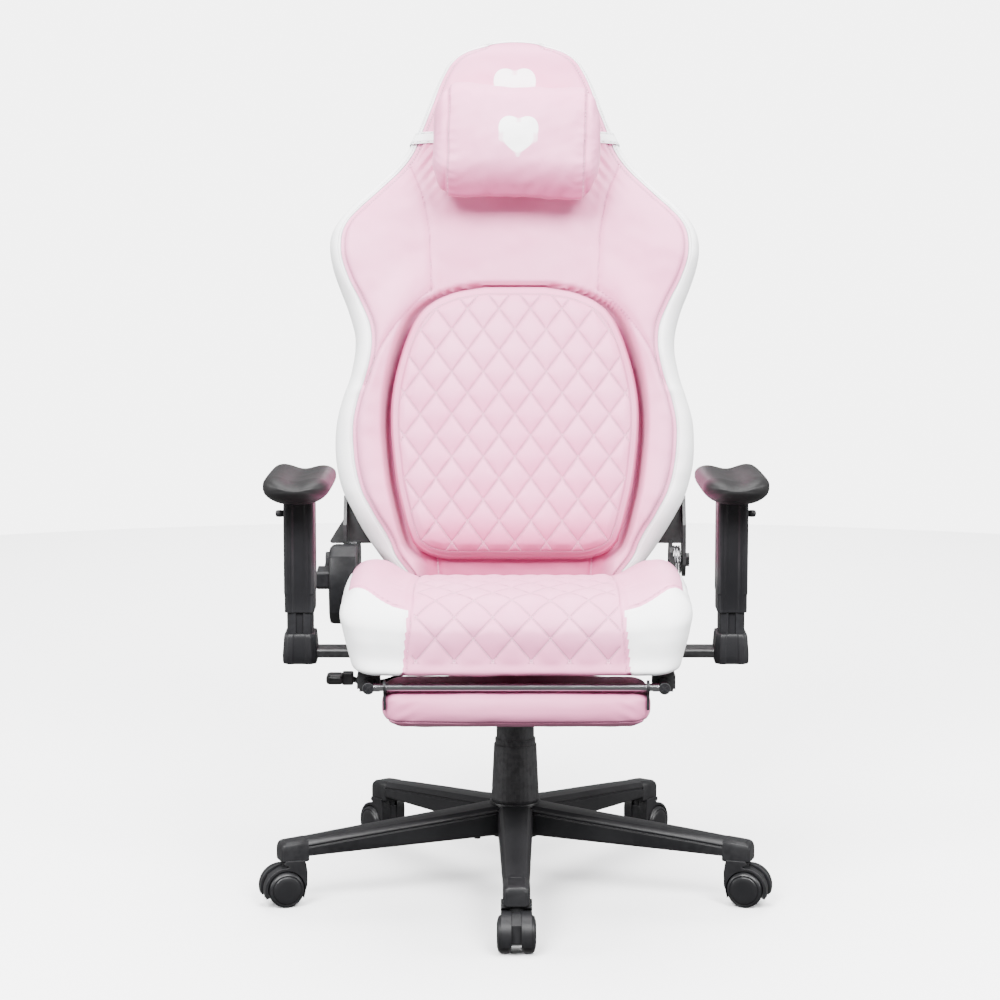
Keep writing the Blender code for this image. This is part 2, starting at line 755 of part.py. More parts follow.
def make_mechanism(finishes, lift, seat):
    steel, chrome, plastic = (finishes[key] for key in ("black_steel", "chrome", "plastic"))
    half = HOUSING_WIDTH / 2
    wall = HOUSING_WALL
    floor = HOUSING_BOTTOM + wall
    top = PLATE_BOTTOM - 0.0012
    shell = box((-half, HOUSING_FRONT, HOUSING_BOTTOM), (half, HOUSING_REAR, top))
    inside = box((-half + wall, HOUSING_FRONT + wall, floor), (half - wall, HOUSING_REAR - wall, top + 0.02))
    pivot = Vector((0, TILT_PIN_Y, TILT_PIN_Z))
    above = box((-0.1, 0, PLATE_BOTTOM - 0.0012 - TILT_PIN_Z), (0.1, 0.2, 0.1))
    lean = Matrix.Translation(pivot) @ Matrix.Rotation(-TILT_RANGE - math.radians(0.5), 4, "X")
    bmesh.ops.transform(above, verts=above.verts, matrix=lean)
    socket_radius = GAS_RADIUS + TOUCH + SOCKET_WALL
    socket = rod((0, 0, HOUSING_BOTTOM + 0.001), (0, 0, GAS_TOP - 0.001), socket_radius, segments=32)
    bore = rod(
        (0, 0, HOUSING_BOTTOM - 0.001), (0, 0, GAS_TOP + 0.001),
        GAS_RADIUS + TOUCH + 0.0001, GAS_RADIUS - GAS_TAPER + TOUCH + 0.0001, 32,
    )
    pin_hole = rod((-0.1, *pivot[1:]), (0.1, *pivot[1:]), TILT_PIN_RADIUS + RUN, segments=20)
    window = box((-half - 0.01, -0.0075, LEVER_Z - 0.006), (-half + wall + 0.001, 0.0075, top + 0.01))
    rocker_axis = (-0.040, LEVER_Z - 0.009)
    ears = [
        box(
            (rocker_axis[0] - 0.006, side * 0.0125 - 0.0015, floor - 0.001),
            (rocker_axis[0] + 0.006, side * 0.0125 + 0.0015, rocker_axis[1] + 0.004),
        )
        for side in (-1, 1)
    ]
    ear_hole = rod((rocker_axis[0], -0.02, rocker_axis[1]), (rocker_axis[0], 0.02, rocker_axis[1]), 0.0024, segments=12)
    bolt_hole = rod((0, SPRING_Y, HOUSING_BOTTOM - 0.01), (0, SPRING_Y, floor + 0.01), 0.0045, segments=16)
    part(
        "tilt_housing", steel, shell, [],
        [inside, above], lift,
    )
    housing = PARTS.objects["tilt_housing"]
    for index, (operation, tool) in enumerate(
        [("UNION", socket), ("UNION", ears[0]), ("UNION", ears[1]), ("DIFFERENCE", bore), ("DIFFERENCE", pin_hole),
         ("DIFFERENCE", window), ("DIFFERENCE", ear_hole), ("DIFFERENCE", bolt_hole)]
    ):
        modifier = housing.modifiers.new(f"fitting_{index}", "BOOLEAN")
        modifier.operation = operation
        modifier.object = shape_to_object(f"tilt_housing_fitting_{index}", tool, CUTTERS)

    pin_half = half + 0.0085
    part("tilt_pin", chrome, rod((-pin_half, *pivot[1:]), (pin_half, *pivot[1:]), TILT_PIN_RADIUS, segments=20),
         parent=lift)

    spring_low, spring_high, wire, coil = floor + 0.0024, PLATE_BOTTOM - 0.0024, 0.0020, 0.0115
    turns, per_turn = 4, 10
    helix = [
        (
            coil * math.cos(2 * math.pi * step / per_turn),
            SPRING_Y + coil * math.sin(2 * math.pi * step / per_turn),
            spring_low + (spring_high - spring_low) * step / (turns * per_turn),
        )
        for step in range(turns * per_turn + 1)
    ]
    part("tilt_spring", chrome, curve_shape(helix, bevel_depth=wire, bevel_resolution=1), parent=lift)

    knob_top = HOUSING_BOTTOM - 0.0015
    knob_joint = joint_empty("tension_turn", (0, SPRING_Y, knob_top), lift)
    knob = rod((0, SPRING_Y, knob_top - KNOB_HEIGHT), (0, SPRING_Y, knob_top), KNOB_RADIUS - 0.002, KNOB_RADIUS, 32)
    screw = rod((0, SPRING_Y, knob_top - 0.004), (0, SPRING_Y, floor + 0.012), 0.0040, segments=16)
    grips = []
    for index in range(6):
        angle = 2 * math.pi * index / 6
        x, y = 1.12 * KNOB_RADIUS * math.cos(angle), SPRING_Y + 1.12 * KNOB_RADIUS * math.sin(angle)
        grips.append(rod((x, y, knob_top - KNOB_HEIGHT - 0.01), (x, y, knob_top + 0.01), 0.0065, segments=16))
    part("tension_knob", plastic, knob, [screw], grips, knob_joint)

    rocker_joint = joint_empty("lever_rock", (rocker_axis[0], 0, rocker_axis[1]), lift)
    block = box((-0.052, -0.0105, LEVER_Z - 0.013), (-0.030, 0.0105, LEVER_Z + 0.0055))
    foot = box((-0.034, -0.006, LEVER_Z - 0.0060), (0.006, 0.006, LEVER_Z - 0.0025))
    stubs = rod((rocker_axis[0], -0.0145, rocker_axis[1]), (rocker_axis[0], 0.0145, rocker_axis[1]), 0.0020, segments=12)
    lever_bore = rod((-0.06, 0, LEVER_Z), (-0.0305, 0, LEVER_Z), LEVER_ROD_RADIUS + RUN, segments=20)
    part("lever_rocker", chrome, block, [foot, stubs], [lever_bore], rocker_joint)

    drop = LEVER_Z - 0.0265
    dip = drop - 0.0095
    route = [
        (-0.0315, 0, LEVER_Z),
        (-0.075, 0, LEVER_Z),
        (-0.106, 0, LEVER_Z),
        (-0.145, -0.014, LEVER_Z - 0.020),
        (-0.174, -0.030, dip),
        (-0.209, -0.048, dip),
        (-0.229, -0.060, drop - 0.001),
    ]
    lever = tube_shape(route, LEVER_ROD_RADIUS, sides=2, steps=5)
    grip_z = drop - 0.001
    collar = rounded_box((-0.240, -0.070, grip_z - 0.0085), (-0.2245, -0.050, grip_z + 0.0085), 0.002)
    paddle = rounded_box((-0.262, -0.074, grip_z - 0.0075), (-0.238, -0.046, grip_z + 0.0065), 0.0045)
    part("height_lever", steel, lever, [collar, paddle], [], joint_empty("lever_pull", (-0.045, 0, LEVER_Z), rocker_joint))

    plate_half = PLATE_WIDTH / 2
    flange_in = half + 0.0017
    plate = box((-plate_half, PLATE_FRONT, PLATE_BOTTOM), (plate_half, PLATE_REAR, PLATE_TOP))
    flanges = [
        box(
            (min(side * flange_in, side * (flange_in + 0.003)), PLATE_FRONT, TILT_PIN_Z - 0.012),
            (max(side * flange_in, side * (flange_in + 0.003)), TILT_PIN_Y + 0.020, PLATE_BOTTOM + 0.001),
        )
        for side in (-1, 1)
    ]
    opening = box((-0.052, -0.030, PLATE_BOTTOM - 0.01), (0.052, 0.030, PLATE_TOP + 0.01))
    part("seat_plate", steel, plate, flanges, [opening, pin_hole_copy(pivot)], seat)


def pin_hole_copy(pivot):
    return rod((-0.1, *pivot[1:]), (0.1, *pivot[1:]), TILT_PIN_RADIUS + RUN, segments=20)


# Seat


def seat_half_width(y):
    """Half width of the seat: full at the front half, narrower beside the recliners."""
    full, narrow = SEAT_WIDTH / 2, SEAT_REAR_WIDTH / 2
    start, end = -0.075, 0.010
    t = min(max((y - start) / (end - start), 0), 1)
    return full + (narrow - full) * t * t * (3 - 2 * t)


def make_seat(finishes, seat):
    steel, pink = finishes["black_steel"], finishes["pink"]
    half = FRAME_WIDTH / 2
    tube_z = FRAME_BOTTOM + FRAME_TUBE_RADIUS + 0.0008
    corner = 0.04
    route = []
    for x, y, start in ((half, FRAME_REAR, 0), (-half, FRAME_REAR, 90), (-half, FRAME_FRONT, 180), (half, FRAME_FRONT, 270)):
        centre = (x - math.copysign(corner, x), y - (corner if y > 0 else -corner))
        route += [(*point, tube_z) for point in arc(centre, corner, start, start + 90, 5)]
    hoop = curve_shape(route, cyclic=True, bevel_depth=FRAME_TUBE_RADIUS, bevel_resolution=2)
    sheet = FRAME_BOTTOM + 0.004
    front_plate = box((-half, -0.125, FRAME_BOTTOM), (half, -0.045, sheet))
    rear_plate = box((-half, 0.075, FRAME_BOTTOM), (half, PLATE_REAR, sheet))
    part("seat_frame", steel, hoop, [front_plate, rear_plate], [], seat)

    side = SEAT_BOLSTER / SEAT_WIDTH
    along = (0.10, 0.35, 0.60, 0.85)

    def move(x, y, z):
        place_y = SEAT_FRONT + (SEAT_REAR - SEAT_FRONT) * y
        width = seat_half_width(place_y) * (0.955 if y in (0, 1) else 1.0)
        centre = SEAT_HEIGHT_FRONT + (SEAT_HEIGHT_REAR - SEAT_HEIGHT_FRONT) * y - 0.014 * (y == 0)
        edge = abs(2 * x - 1)
        rise = BOLSTER_RISE * (1.0 if 0.5 < edge < 0.99 else 0.0) * (0.25 if y == 0 else 1.0)
        if edge > 0.99:
            rise = BOLSTER_RISE * 0.35 * (0.3 if y == 0 else 1.0)
        bottom = FRAME_BOTTOM + 0.0015
        top = FRAME_BOTTOM + centre + rise
        return Vector(((2 * x - 1) * width, place_y, bottom + (top - bottom) * z))

    cushion_cage = cage(((0.08, side * 0.55, side + 0.02, 0.5, 0.98 - side, 1 - side * 0.55, 0.92), along, (0.06, 0.5)), move)
    cushion = part("seat_cushion", pink, cushion_cage, parent=seat)
    smoothed(cushion)
    recess = box(
        (-half - FRAME_TUBE_RADIUS - 0.0022, FRAME_FRONT - FRAME_TUBE_RADIUS - 0.0025, FRAME_BOTTOM - 0.02),
        (half + FRAME_TUBE_RADIUS + 0.0022, FRAME_REAR + FRAME_TUBE_RADIUS + 0.0025, tube_z + FRAME_TUBE_RADIUS + 0.002),
    )
    cut = cushion.modifiers.new("frame_room", "BOOLEAN")
    cut.operation = "DIFFERENCE"
    cut.object = shape_to_object("seat_frame_room", recess, CUTTERS)


# Armrests, modelled on the right and mirrored


def make_armrests(finishes, seat):
    steel, plastic, rubber = (finishes[key] for key in ("black_steel", "plastic", "rubber"))
    bar_top = PLATE_TOP
    bar_bottom = bar_top - ARM_BAR_HEIGHT
    foot_bottom = bar_bottom - FOOT_BELOW_BAR
    foot_top = foot_bottom + FOOT_HEIGHT
    front, rear = ARM_Y - ARM_BAR_DEPTH / 2, ARM_Y + ARM_BAR_DEPTH / 2
    foot_inner = -ARM_X + FOOT_WIDTH / 2
    bar = rounded_box((foot_inner + TOUCH, front, bar_bottom), (-ARM_BAR_INNER, rear, bar_top), 0.003, 2, edges=0)
    bracket = part("arm_bracket_right", steel, bar, parent=seat)

    foot = cage(
        ((), (), (0.35,)),
        lambda x, y, z: Vector((
            -ARM_X + (x - 0.5) * (FOOT_WIDTH - (0.006 if z == 1 else 0)),
            ARM_Y + (y - 0.5) * (POST_DEPTH + 0.012 - (0.006 if z == 1 else 0)),
            foot_bottom + z * FOOT_HEIGHT,
        )),
    )
    upright = foot_top + POST_LENGTH
    inner = rounded_box(
        (-ARM_X - POST_WIDTH / 2, ARM_Y - POST_DEPTH / 2, foot_top - 0.004),
        (-ARM_X + POST_WIDTH / 2, ARM_Y + POST_DEPTH / 2, upright), 0.010, 3, edges=2,
    )
    post = part("arm_post_right", plastic, foot, [inner], parent=seat)

    sleeve_bottom = foot_top + SLEEVE_RAISED
    sleeve_top = sleeve_bottom + SLEEVE_LENGTH
    joint = joint_empty("arm_height_right", (-ARM_X, ARM_Y, sleeve_bottom), seat)
    outer_half = POST_WIDTH / 2 + RUN + SLEEVE_WALL
    outer_depth = POST_DEPTH / 2 + RUN + SLEEVE_WALL
    shell = rounded_box(
        (-ARM_X - outer_half, ARM_Y - outer_depth, sleeve_bottom),
        (-ARM_X + outer_half, ARM_Y + outer_depth, sleeve_top), 0.0125, 3, edges=2,
    )
    hollow = rounded_box(
        (-ARM_X - POST_WIDTH / 2 - RUN, ARM_Y - POST_DEPTH / 2 - RUN, sleeve_bottom - 0.01),
        (-ARM_X + POST_WIDTH / 2 + RUN, ARM_Y + POST_DEPTH / 2 + RUN, sleeve_top - 0.004), 0.0100, 3, edges=2,
    )
    slot_x = -ARM_X - outer_half
    slot = box((slot_x - 0.01, ARM_Y - 0.008, sleeve_top - 0.032), (slot_x + SLEEVE_WALL * 0.75, ARM_Y + 0.008, sleeve_top - 0.008))
    sleeve = part("arm_sleeve_right", plastic, shell, [], [hollow, slot], joint)

    trigger_z = sleeve_top - 0.015
    thin = slot_x + SLEEVE_WALL * 0.75 - TOUCH
    plate = box((slot_x - 0.0012, ARM_Y - 0.0065, trigger_z - 0.011), (thin, ARM_Y + 0.0065, trigger_z + 0.0035))
    finger = rounded_box((slot_x - 0.012, ARM_Y - 0.0065, trigger_z - 0.003), (slot_x - 0.0002, ARM_Y + 0.0065, trigger_z + 0.0025), 0.0015)
    trigger = part("arm_trigger_right", plastic, plate, [finger], [], joint_empty("trigger_pull_right", (slot_x, ARM_Y, trigger_z), joint))

    pad_bottom = sleeve_top + TOUCH
    pad_front = ARM_Y - PAD_LENGTH * 0.42

    def move(x, y, z):
        end = 0.86 if y in (0, 1) else 1.0
        across = 2 * x - 1
        dip = 0.010 * (1 - min(abs(across) * 1.6, 1) ** 2)
        lean = 0.003 * -across
        narrow = 0.62 if z == 0 else 1.0
        height = pad_bottom + (PAD_THICKNESS - dip + lean) * z if z > 0.6 else pad_bottom + PAD_THICKNESS * 0.42 * (z > 0)
        return Vector((-ARM_X + across * PAD_WIDTH / 2 * end * narrow, pad_front + PAD_LENGTH * y, height))

    pad = part("arm_pad_right", rubber, cage(((0.10, 0.3, 0.5, 0.7, 0.90), (0.08, 0.5, 0.92), (0.45,)), move), parent=joint)
    smoothed(pad)
    flat = pad.modifiers.new("flat_underside", "BOOLEAN")
    flat.operation = "DIFFERENCE"
    under = box((-ARM_X - 0.08, pad_front - 0.05, pad_bottom - 0.05), (-ARM_X + 0.08, pad_front + PAD_LENGTH + 0.05, pad_bottom))
    flat.object = shape_to_object("arm_pad_under", under, CUTTERS)

    left = joint_empty("arm_height_left", (ARM_X, ARM_Y, sleeve_bottom), seat)
    left_trigger = joint_empty("trigger_pull_left", (-slot_x, ARM_Y, trigger_z), left)
    for piece, parent in ((bracket, seat), (post, seat), (sleeve, left), (trigger, left_trigger), (pad, left)):
        mirror_copy(piece, piece.name.replace("right", "left"), parent)


# Footrest


def make_footrest(finishes, seat):
    steel, chrome, plastic, pink = (finishes[key] for key in ("black_steel", "chrome", "plastic", "pink"))
    slide = joint_empty("footrest_slide", (0, RAIL_FRONT, RAIL_Z), seat)
    rear = RAIL_FRONT + RAIL_LENGTH
    bar_y = RAIL_FRONT + CROSSBAR_FROM_END
    rails = [rod((side * RAIL_X, RAIL_FRONT, RAIL_Z), (side * RAIL_X, rear, RAIL_Z), RAIL_RADIUS, segments=24) for side in (-1, 1)]
    crossbar = rod((-RAIL_X, bar_y, RAIL_Z), (RAIL_X, bar_y, RAIL_Z), CROSSBAR_RADIUS, segments=20)
    hollows = [
        rod((side * RAIL_X, RAIL_FRONT + 0.022, RAIL_Z), (side * RAIL_X, rear + 0.01, RAIL_Z), RAIL_RADIUS - RAIL_WALL, segments=16)
        for side in (-1, 1)
    ]
    part("footrest_frame", chrome, crossbar, rails, hollows, slide)

    guides = []
    for place in (-0.222, -0.018):
        low = (-RAIL_X - GUIDE_HALF_WIDTH, place - GUIDE_LENGTH / 2, RAIL_Z - RAIL_RADIUS - 0.0035)
        guides.append(box(low, (-RAIL_X + GUIDE_HALF_WIDTH, place + GUIDE_LENGTH / 2, FRAME_BOTTOM - TOUCH)))
    outer = -RAIL_X - GUIDE_HALF_WIDTH
    strip = box((outer - 0.003, -0.240, RAIL_Z - RAIL_RADIUS), (outer + 0.001, 0.000, PLATE_TOP - ARM_BAR_HEIGHT - 0.001))
    bore = rod((-RAIL_X, -0.30, RAIL_Z), (-RAIL_X, 0.10, RAIL_Z), RAIL_RADIUS + RUN, segments=24)
    guide = part("footrest_guide_right", steel, strip, guides, [bore], seat)
    mirror_copy(guide, "footrest_guide_left", seat)

    flip = joint_empty("footrest_flip", (0, bar_y, RAIL_Z), slide)
    pad_top = RAIL_Z - CROSSBAR_RADIUS - 0.0008
    front = bar_y - 0.0065

    def move(x, y, z):
        corner = 0.94 if z == 0 else 1.0
        return Vector(((2 * x - 1) * FOOTPAD_WIDTH / 2 * corner, front + FOOTPAD_DEPTH * y, pad_top - FOOTPAD_THICKNESS * (1 - z)))

    pad = part("footrest_pad", pink, cage(((0.04, 0.96), (0.10, 0.90), (0.25, 0.80)), move), parent=flip)
    smoothed(pad)

    end = -FOOTPAD_WIDTH / 2 - 0.0008
    ring = rod((end - 0.0035, bar_y, RAIL_Z), (end, bar_y, RAIL_Z), CROSSBAR_RADIUS + 0.0045, segments=20)
    leg = box((end - 0.0035, bar_y - 0.004, RAIL_Z - 0.030), (end, bar_y + 0.050, RAIL_Z - CROSSBAR_RADIUS - 0.001))
    hole = rod((end - 0.01, bar_y, RAIL_Z), (end + 0.01, bar_y, RAIL_Z), CROSSBAR_RADIUS + RUN, segments=20)
    lug = part("footrest_lug_right", plastic, ring, [leg], [hole], flip)
    mirror_copy(lug, "footrest_lug_left", flip)


# Recliner


def make_recliner(finishes, seat, back, pivot):
    steel, chrome, plastic = (finishes[key] for key in ("black_steel", "chrome", "plastic"))
    y, z = pivot[1], pivot[2]
    foot_z = FRAME_BOTTOM - TOUCH
    outline = [(0.022, foot_z - 0.0040), (0.150, foot_z - 0.0040), *arc((y, z), RECLINER_RADIUS + 0.001, -35, 150, 10), (0.022, foot_z + 0.016)]
    lower = side_plate(outline, -PLATE_X - BRACKET_THICKNESS, -PLATE_X)
    foot = box((-PLATE_X - 0.001, 0.020, foot_z - 0.0048), (-0.195, 0.120, foot_z))
    hole = rod((-0.3, y, z), (-0.2, y, z), STUD_RADIUS + RUN, segments=20)
    lower_right = part("recliner_bracket_right", steel, lower, [foot], [hole], seat)
    lower_left = mirror_copy(lower_right, "recliner_bracket_left", seat)

    slope = Matrix.Rotation(-BACK_LEAN, 3, "X")

    def on_back(depth, height):
        spot = slope @ Vector((0, depth, height))
        return BACK_Y + spot.y, BACK_Z + spot.z

    radius = RECLINER_RADIUS - 0.002
    upper_outline = [
        *arc((y, z), radius, 190, 350, 8),
        on_back(0.066, 0.060),
        on_back(0.062, 0.104),
        on_back(0.020, 0.104),
        on_back(0.004, 0.060),
    ]
    upper = side_plate(upper_outline, -OUTER_X - BRACKET_THICKNESS, -OUTER_X)
    tab_low, tab_high = Vector((-OUTER_X - 0.001, 0.0495, 0.064)), Vector((-0.2325, 0.0555, 0.102))
    tab = box(tab_low, tab_high)
    to_back = Matrix.Translation((0, BACK_Y, BACK_Z)) @ slope.to_4x4()
    bmesh.ops.transform(tab, verts=tab.verts, matrix=to_back)
    upper_hole = rod((-0.3, y, z), (-0.2, y, z), STUD_RADIUS + RUN, segments=20)
    upper_right = part("back_bracket_right", steel, upper, [tab], [upper_hole], back)
    mirror_copy(upper_right, "back_bracket_left", back)

    unit = rod((-OUTER_X + TOUCH, y, z), (-SPACE_X - TOUCH, y, z), RECLINER_RADIUS - 0.001, segments=32)
    unit_hole = rod((-0.3, y, z), (-0.2, y, z), STUD_RADIUS + RUN, segments=20)
    part("recliner_unit", chrome, unit, [], [unit_hole], seat)

    wire, coil, per_turn = 0.0014, 0.0200, 12
    first, last = SPACE_X + wire + TOUCH, OUTER_X - wire - TOUCH
    turns = 3
    helix = [
        (
            first + (last - first) * step / (turns * per_turn),
            y + coil * math.cos(2 * math.pi * step / per_turn),
            z + coil * math.sin(2 * math.pi * step / per_turn),
        )
        for step in range(turns * per_turn + 1)
    ]
    part("recline_spring", chrome, curve_shape(helix, bevel_depth=wire, bevel_resolution=1), parent=seat)
    reach = OUTER_X + BRACKET_THICKNESS
    stud = rod((PLATE_X + 0.001, y, z), (reach + 0.005, y, z), STUD_RADIUS, segments=20)
    head = rod((reach + 0.001, y, z), (reach + 0.006, y, z), 0.010, segments=6)
    plug = rod((PLATE_X - 0.0012, y, z), (SPACE_X + 0.0008, y, z), STUD_RADIUS + 0.003, segments=20)
    for index, tool in enumerate((plug, stud, head)):
        modifier = lower_left.modifiers.new(f"stud_{index}", "BOOLEAN")
        modifier.operation = "UNION"
        modifier.object = shape_to_object(f"left_stud_{index}", tool, CUTTERS)

    far = COVER_X + COVER_THICKNESS
    cover_outline = [
        *arc((y, z), COVER_RADIUS, -60, 125, 14),
        (y - 0.070, z + 0.020),
        (y - 0.105, z - 0.045),
        (y - 0.100, z - 0.075),
        (y - 0.060, z - 0.078),
    ]
    inset = 0.0025
    inner_outline = [
        *arc((y, z), COVER_RADIUS - inset, -60, 125, 14),
        (y - 0.070 + inset, z + 0.018),
        (y - 0.105 + inset, z - 0.045),
        (y - 0.100 + inset, z - 0.075 + inset),
        (y - 0.060, z - 0.078 + inset),
    ]
    shell = side_plate(cover_outline, -far, -COVER_X)
    hollow = side_plate(inner_outline, -far + inset, -COVER_X + 0.01)
    shaft_hole = rod((-0.3, y, z), (-0.2, y, z), STUD_RADIUS + 0.0012, segments=20)
    cover = part("recliner_cover", plastic, shell, [], [hollow, shaft_hole], seat)
    add_bevel(cover, 0.0015, 1)

    lever_joint = joint_empty("recline_lever_lift", (-far, y, z), seat)
    shaft = rod((-PLATE_X + 0.004, y, z), (-far - 0.010, y, z), STUD_RADIUS, segments=20)
    boss = rod((-far - 0.0015, y, z), (-far - 0.0125, y, z), 0.0125, segments=24)
    handle = cage(
        ((0.25, 0.5, 0.75), (), ()),
        lambda a, b, c: Vector((
            -far - 0.0075 - 0.036 * a,
            y - 0.006 - 0.088 * a + (b - 0.5) * 0.020,
            z - 0.006 - 0.012 * a + (c - 0.5) * (0.022 + (0.004 if a in (0.25, 0.75) else 0)),
        )),
    )
    lever = part("recline_lever", plastic, shaft, [boss, handle], [], lever_joint)
    add_bevel(lever, 0.002, 1)
    return lower_left


# Back


def back_half_width(height):
    return between(BACK_OUTLINE, height)


def wing(x, height):
    """How far the front face stands forward of its middle, at x from 0 in the middle to 1 at the edge."""
    up = min(max((height - 0.02) / 0.10, 0), 1) * min(max((0.535 - height) / 0.10, 0), 1)
    side = min(max((abs(x) - 0.35) / 0.45, 0), 1)
    return WING_DEPTH * up * side * side * (3 - 2 * side)


def back_cage(inset, front, rear, wings):
    heights = [height for height, _ in BACK_OUTLINE]
    low, high = heights[0] + inset, heights[-1] - inset
    rows = [(height - low) / (high - low) for height in heights[1:-1]]

    def move(x, y, z):
        height = low + (high - low) * z
        across = 2 * x - 1
        half = back_half_width(height) - inset
        depth = front + (rear - front) * y
        if wings and y < 0.5:
            depth -= wing(across, height) * (1 - y) * (0.55 if abs(across) > 0.99 else 1.0)
        return Vector((across * half, depth, height))

    return cage(((0.05, 0.2, 0.5, 0.8, 0.95), (0.5,) if wings else (), rows), move)


def superellipse(width, height, centre, power=3.2, count=40):
    points = []
    for index in range(count):
        angle = 2 * math.pi * index / count
        c, s = math.cos(angle), math.sin(angle)
        points.append((
            math.copysign(abs(c) ** (2 / power), c) * width / 2,
            centre + math.copysign(abs(s) ** (2 / power), s) * height / 2,
        ))
    return points


def lumbar_shape(grow, front, rear, rounding):
    width, height = LUMBAR_WIDTH + 2 * grow, LUMBAR_HEIGHT + 2 * grow
    outline = superellipse(width - 2 * rounding, height - 2 * rounding, LUMBAR_CENTRE)
    shape = curve_shape(
        outline, flat=True, cyclic=True, extrude=(rear - front) / 2 - rounding, bevel_depth=rounding, bevel_resolution=1
    )
    stand = Matrix(((1, 0, 0, 0), (0, 0, -1, (front + rear) / 2), (0, 1, 0, 0), (0, 0, 0, 1)))
    bmesh.ops.transform(shape, verts=shape.verts, matrix=stand)
    return shape


def make_back(finishes, frame):
    """The back's pieces, modelled upright in the leaning frame of the empty."""
    steel, pink, white = (finishes[key] for key in ("black_steel", "pink", "white"))
    cushion = part("back_cushion", pink, back_cage(0, 0, FOAM_DEPTH, True))
    smoothed(cushion)
    pocket = cushion.modifiers.new("lumbar_pocket", "BOOLEAN")
    pocket.operation = "DIFFERENCE"
    pocket.object = shape_to_object("lumbar_pocket", lumbar_shape(LUMBAR_CLEARANCE, -0.08, LUMBAR_POCKET, 0.0), CUTTERS)

    cover_front = FOAM_DEPTH + 0.0008
    shell = back_cage(0.002, cover_front, cover_front + COVER_DEPTH, False)
    open_side = [face for face in shell.faces if face.calc_center_median().y < cover_front + 0.0001]
    bmesh.ops.delete(shell, geom=open_side, context="FACES")
    cover = part("back_cover", white, shell)
    smoothed(cover)
    skin = cover.modifiers.new("skin", "SOLIDIFY")
    skin.thickness = COVER_SKIN
    skin.offset = -1
    gusset_boxes = []
    for side in (-1, 1):
        inner, outer = side * 0.150, side * 0.232
        low = (min(inner, outer), 0.0495, 0.066)
        high = (max(inner, outer), 0.0555, 0.100)
        gusset_boxes.append((low, high))
        notch = box((min(side * 0.19, side * 0.26), 0.0475, 0.061), (max(side * 0.19, side * 0.26), 0.0575, 0.105))
        cut = cover.modifiers.new("bracket_notch", "BOOLEAN")
        cut.operation = "DIFFERENCE"
        cut.object = shape_to_object("bracket_notch", notch, CUTTERS)

    depth = FOAM_DEPTH + 0.003 + BACK_TUBE_RADIUS
    side_route = [(0.150, depth, -0.004), (0.196, depth, 0.130), (0.186, depth, 0.330), (0.190, depth, 0.450), (0.098, depth, 0.610)]
    route = side_route + [(0, depth, 0.705)] + [(-x, y, z) for x, y, z in reversed(side_route)]
    hoop = tube_shape(route, BACK_TUBE_RADIUS, sides=1, steps=4)
    bars = [box((-0.19, depth - 0.003, height), (0.19, depth + 0.003, height + 0.030)) for height in (0.150, 0.400)]
    gussets = [box(low, high) for low, high in gusset_boxes]
    back_frame = part("back_frame", steel, hoop, [*bars, *gussets])

    pad = part("lumbar_pad", pink, lumbar_shape(0, LUMBAR_FRONT, LUMBAR_REAR, 0.012))
    pillow_front = -0.0045 - PILLOW_DEPTH

    def move(x, y, z):
        across = 2 * x - 1
        height = PILLOW_CENTRE + (z - 0.5) * PILLOW_HEIGHT * (0.93 if abs(across) > 0.9 else 1)
        return Vector((across * PILLOW_WIDTH / 2, pillow_front + PILLOW_DEPTH * y, height))

    pillow = part("headrest_pillow", pink, cage(((0.10, 0.90), (0.25, 0.75), (0.25, 0.75)), move))
    smoothed(pillow, 2)

    outer = back_half_width(STRAP_CENTRE - STRAP_WIDTH) + 0.004
    deep = cover_front + COVER_DEPTH + 0.0008
    near = -0.0012
    loops = []
    for grow in (STRAP_THICKNESS, 0):
        loops.append(rounded_box(
            (-outer - grow, near - grow, STRAP_CENTRE - STRAP_WIDTH / 2 - (0.01 if not grow else 0)),
            (outer + grow, deep + grow, STRAP_CENTRE + STRAP_WIDTH / 2 + (0.01 if not grow else 0)),
            0.004 + grow, 2, edges=2,
        ))
    strap = part("headrest_strap", white, loops[0], [], [loops[1]])

    for piece in (cushion, cover, back_frame, pad, pillow, strap):
        piece.parent = frame
        for modifier in piece.modifiers:
            if modifier.type == "BOOLEAN":
                modifier.object.parent = frame
    lumbar = joint_empty("lumbar_give", (0, 0, 0))
    lumbar.parent = frame
    lumbar.location = (0, LUMBAR_REAR, LUMBAR_CENTRE)
    pad.parent = lumbar
    pad.location = (0, -LUMBAR_REAR, -LUMBAR_CENTRE)


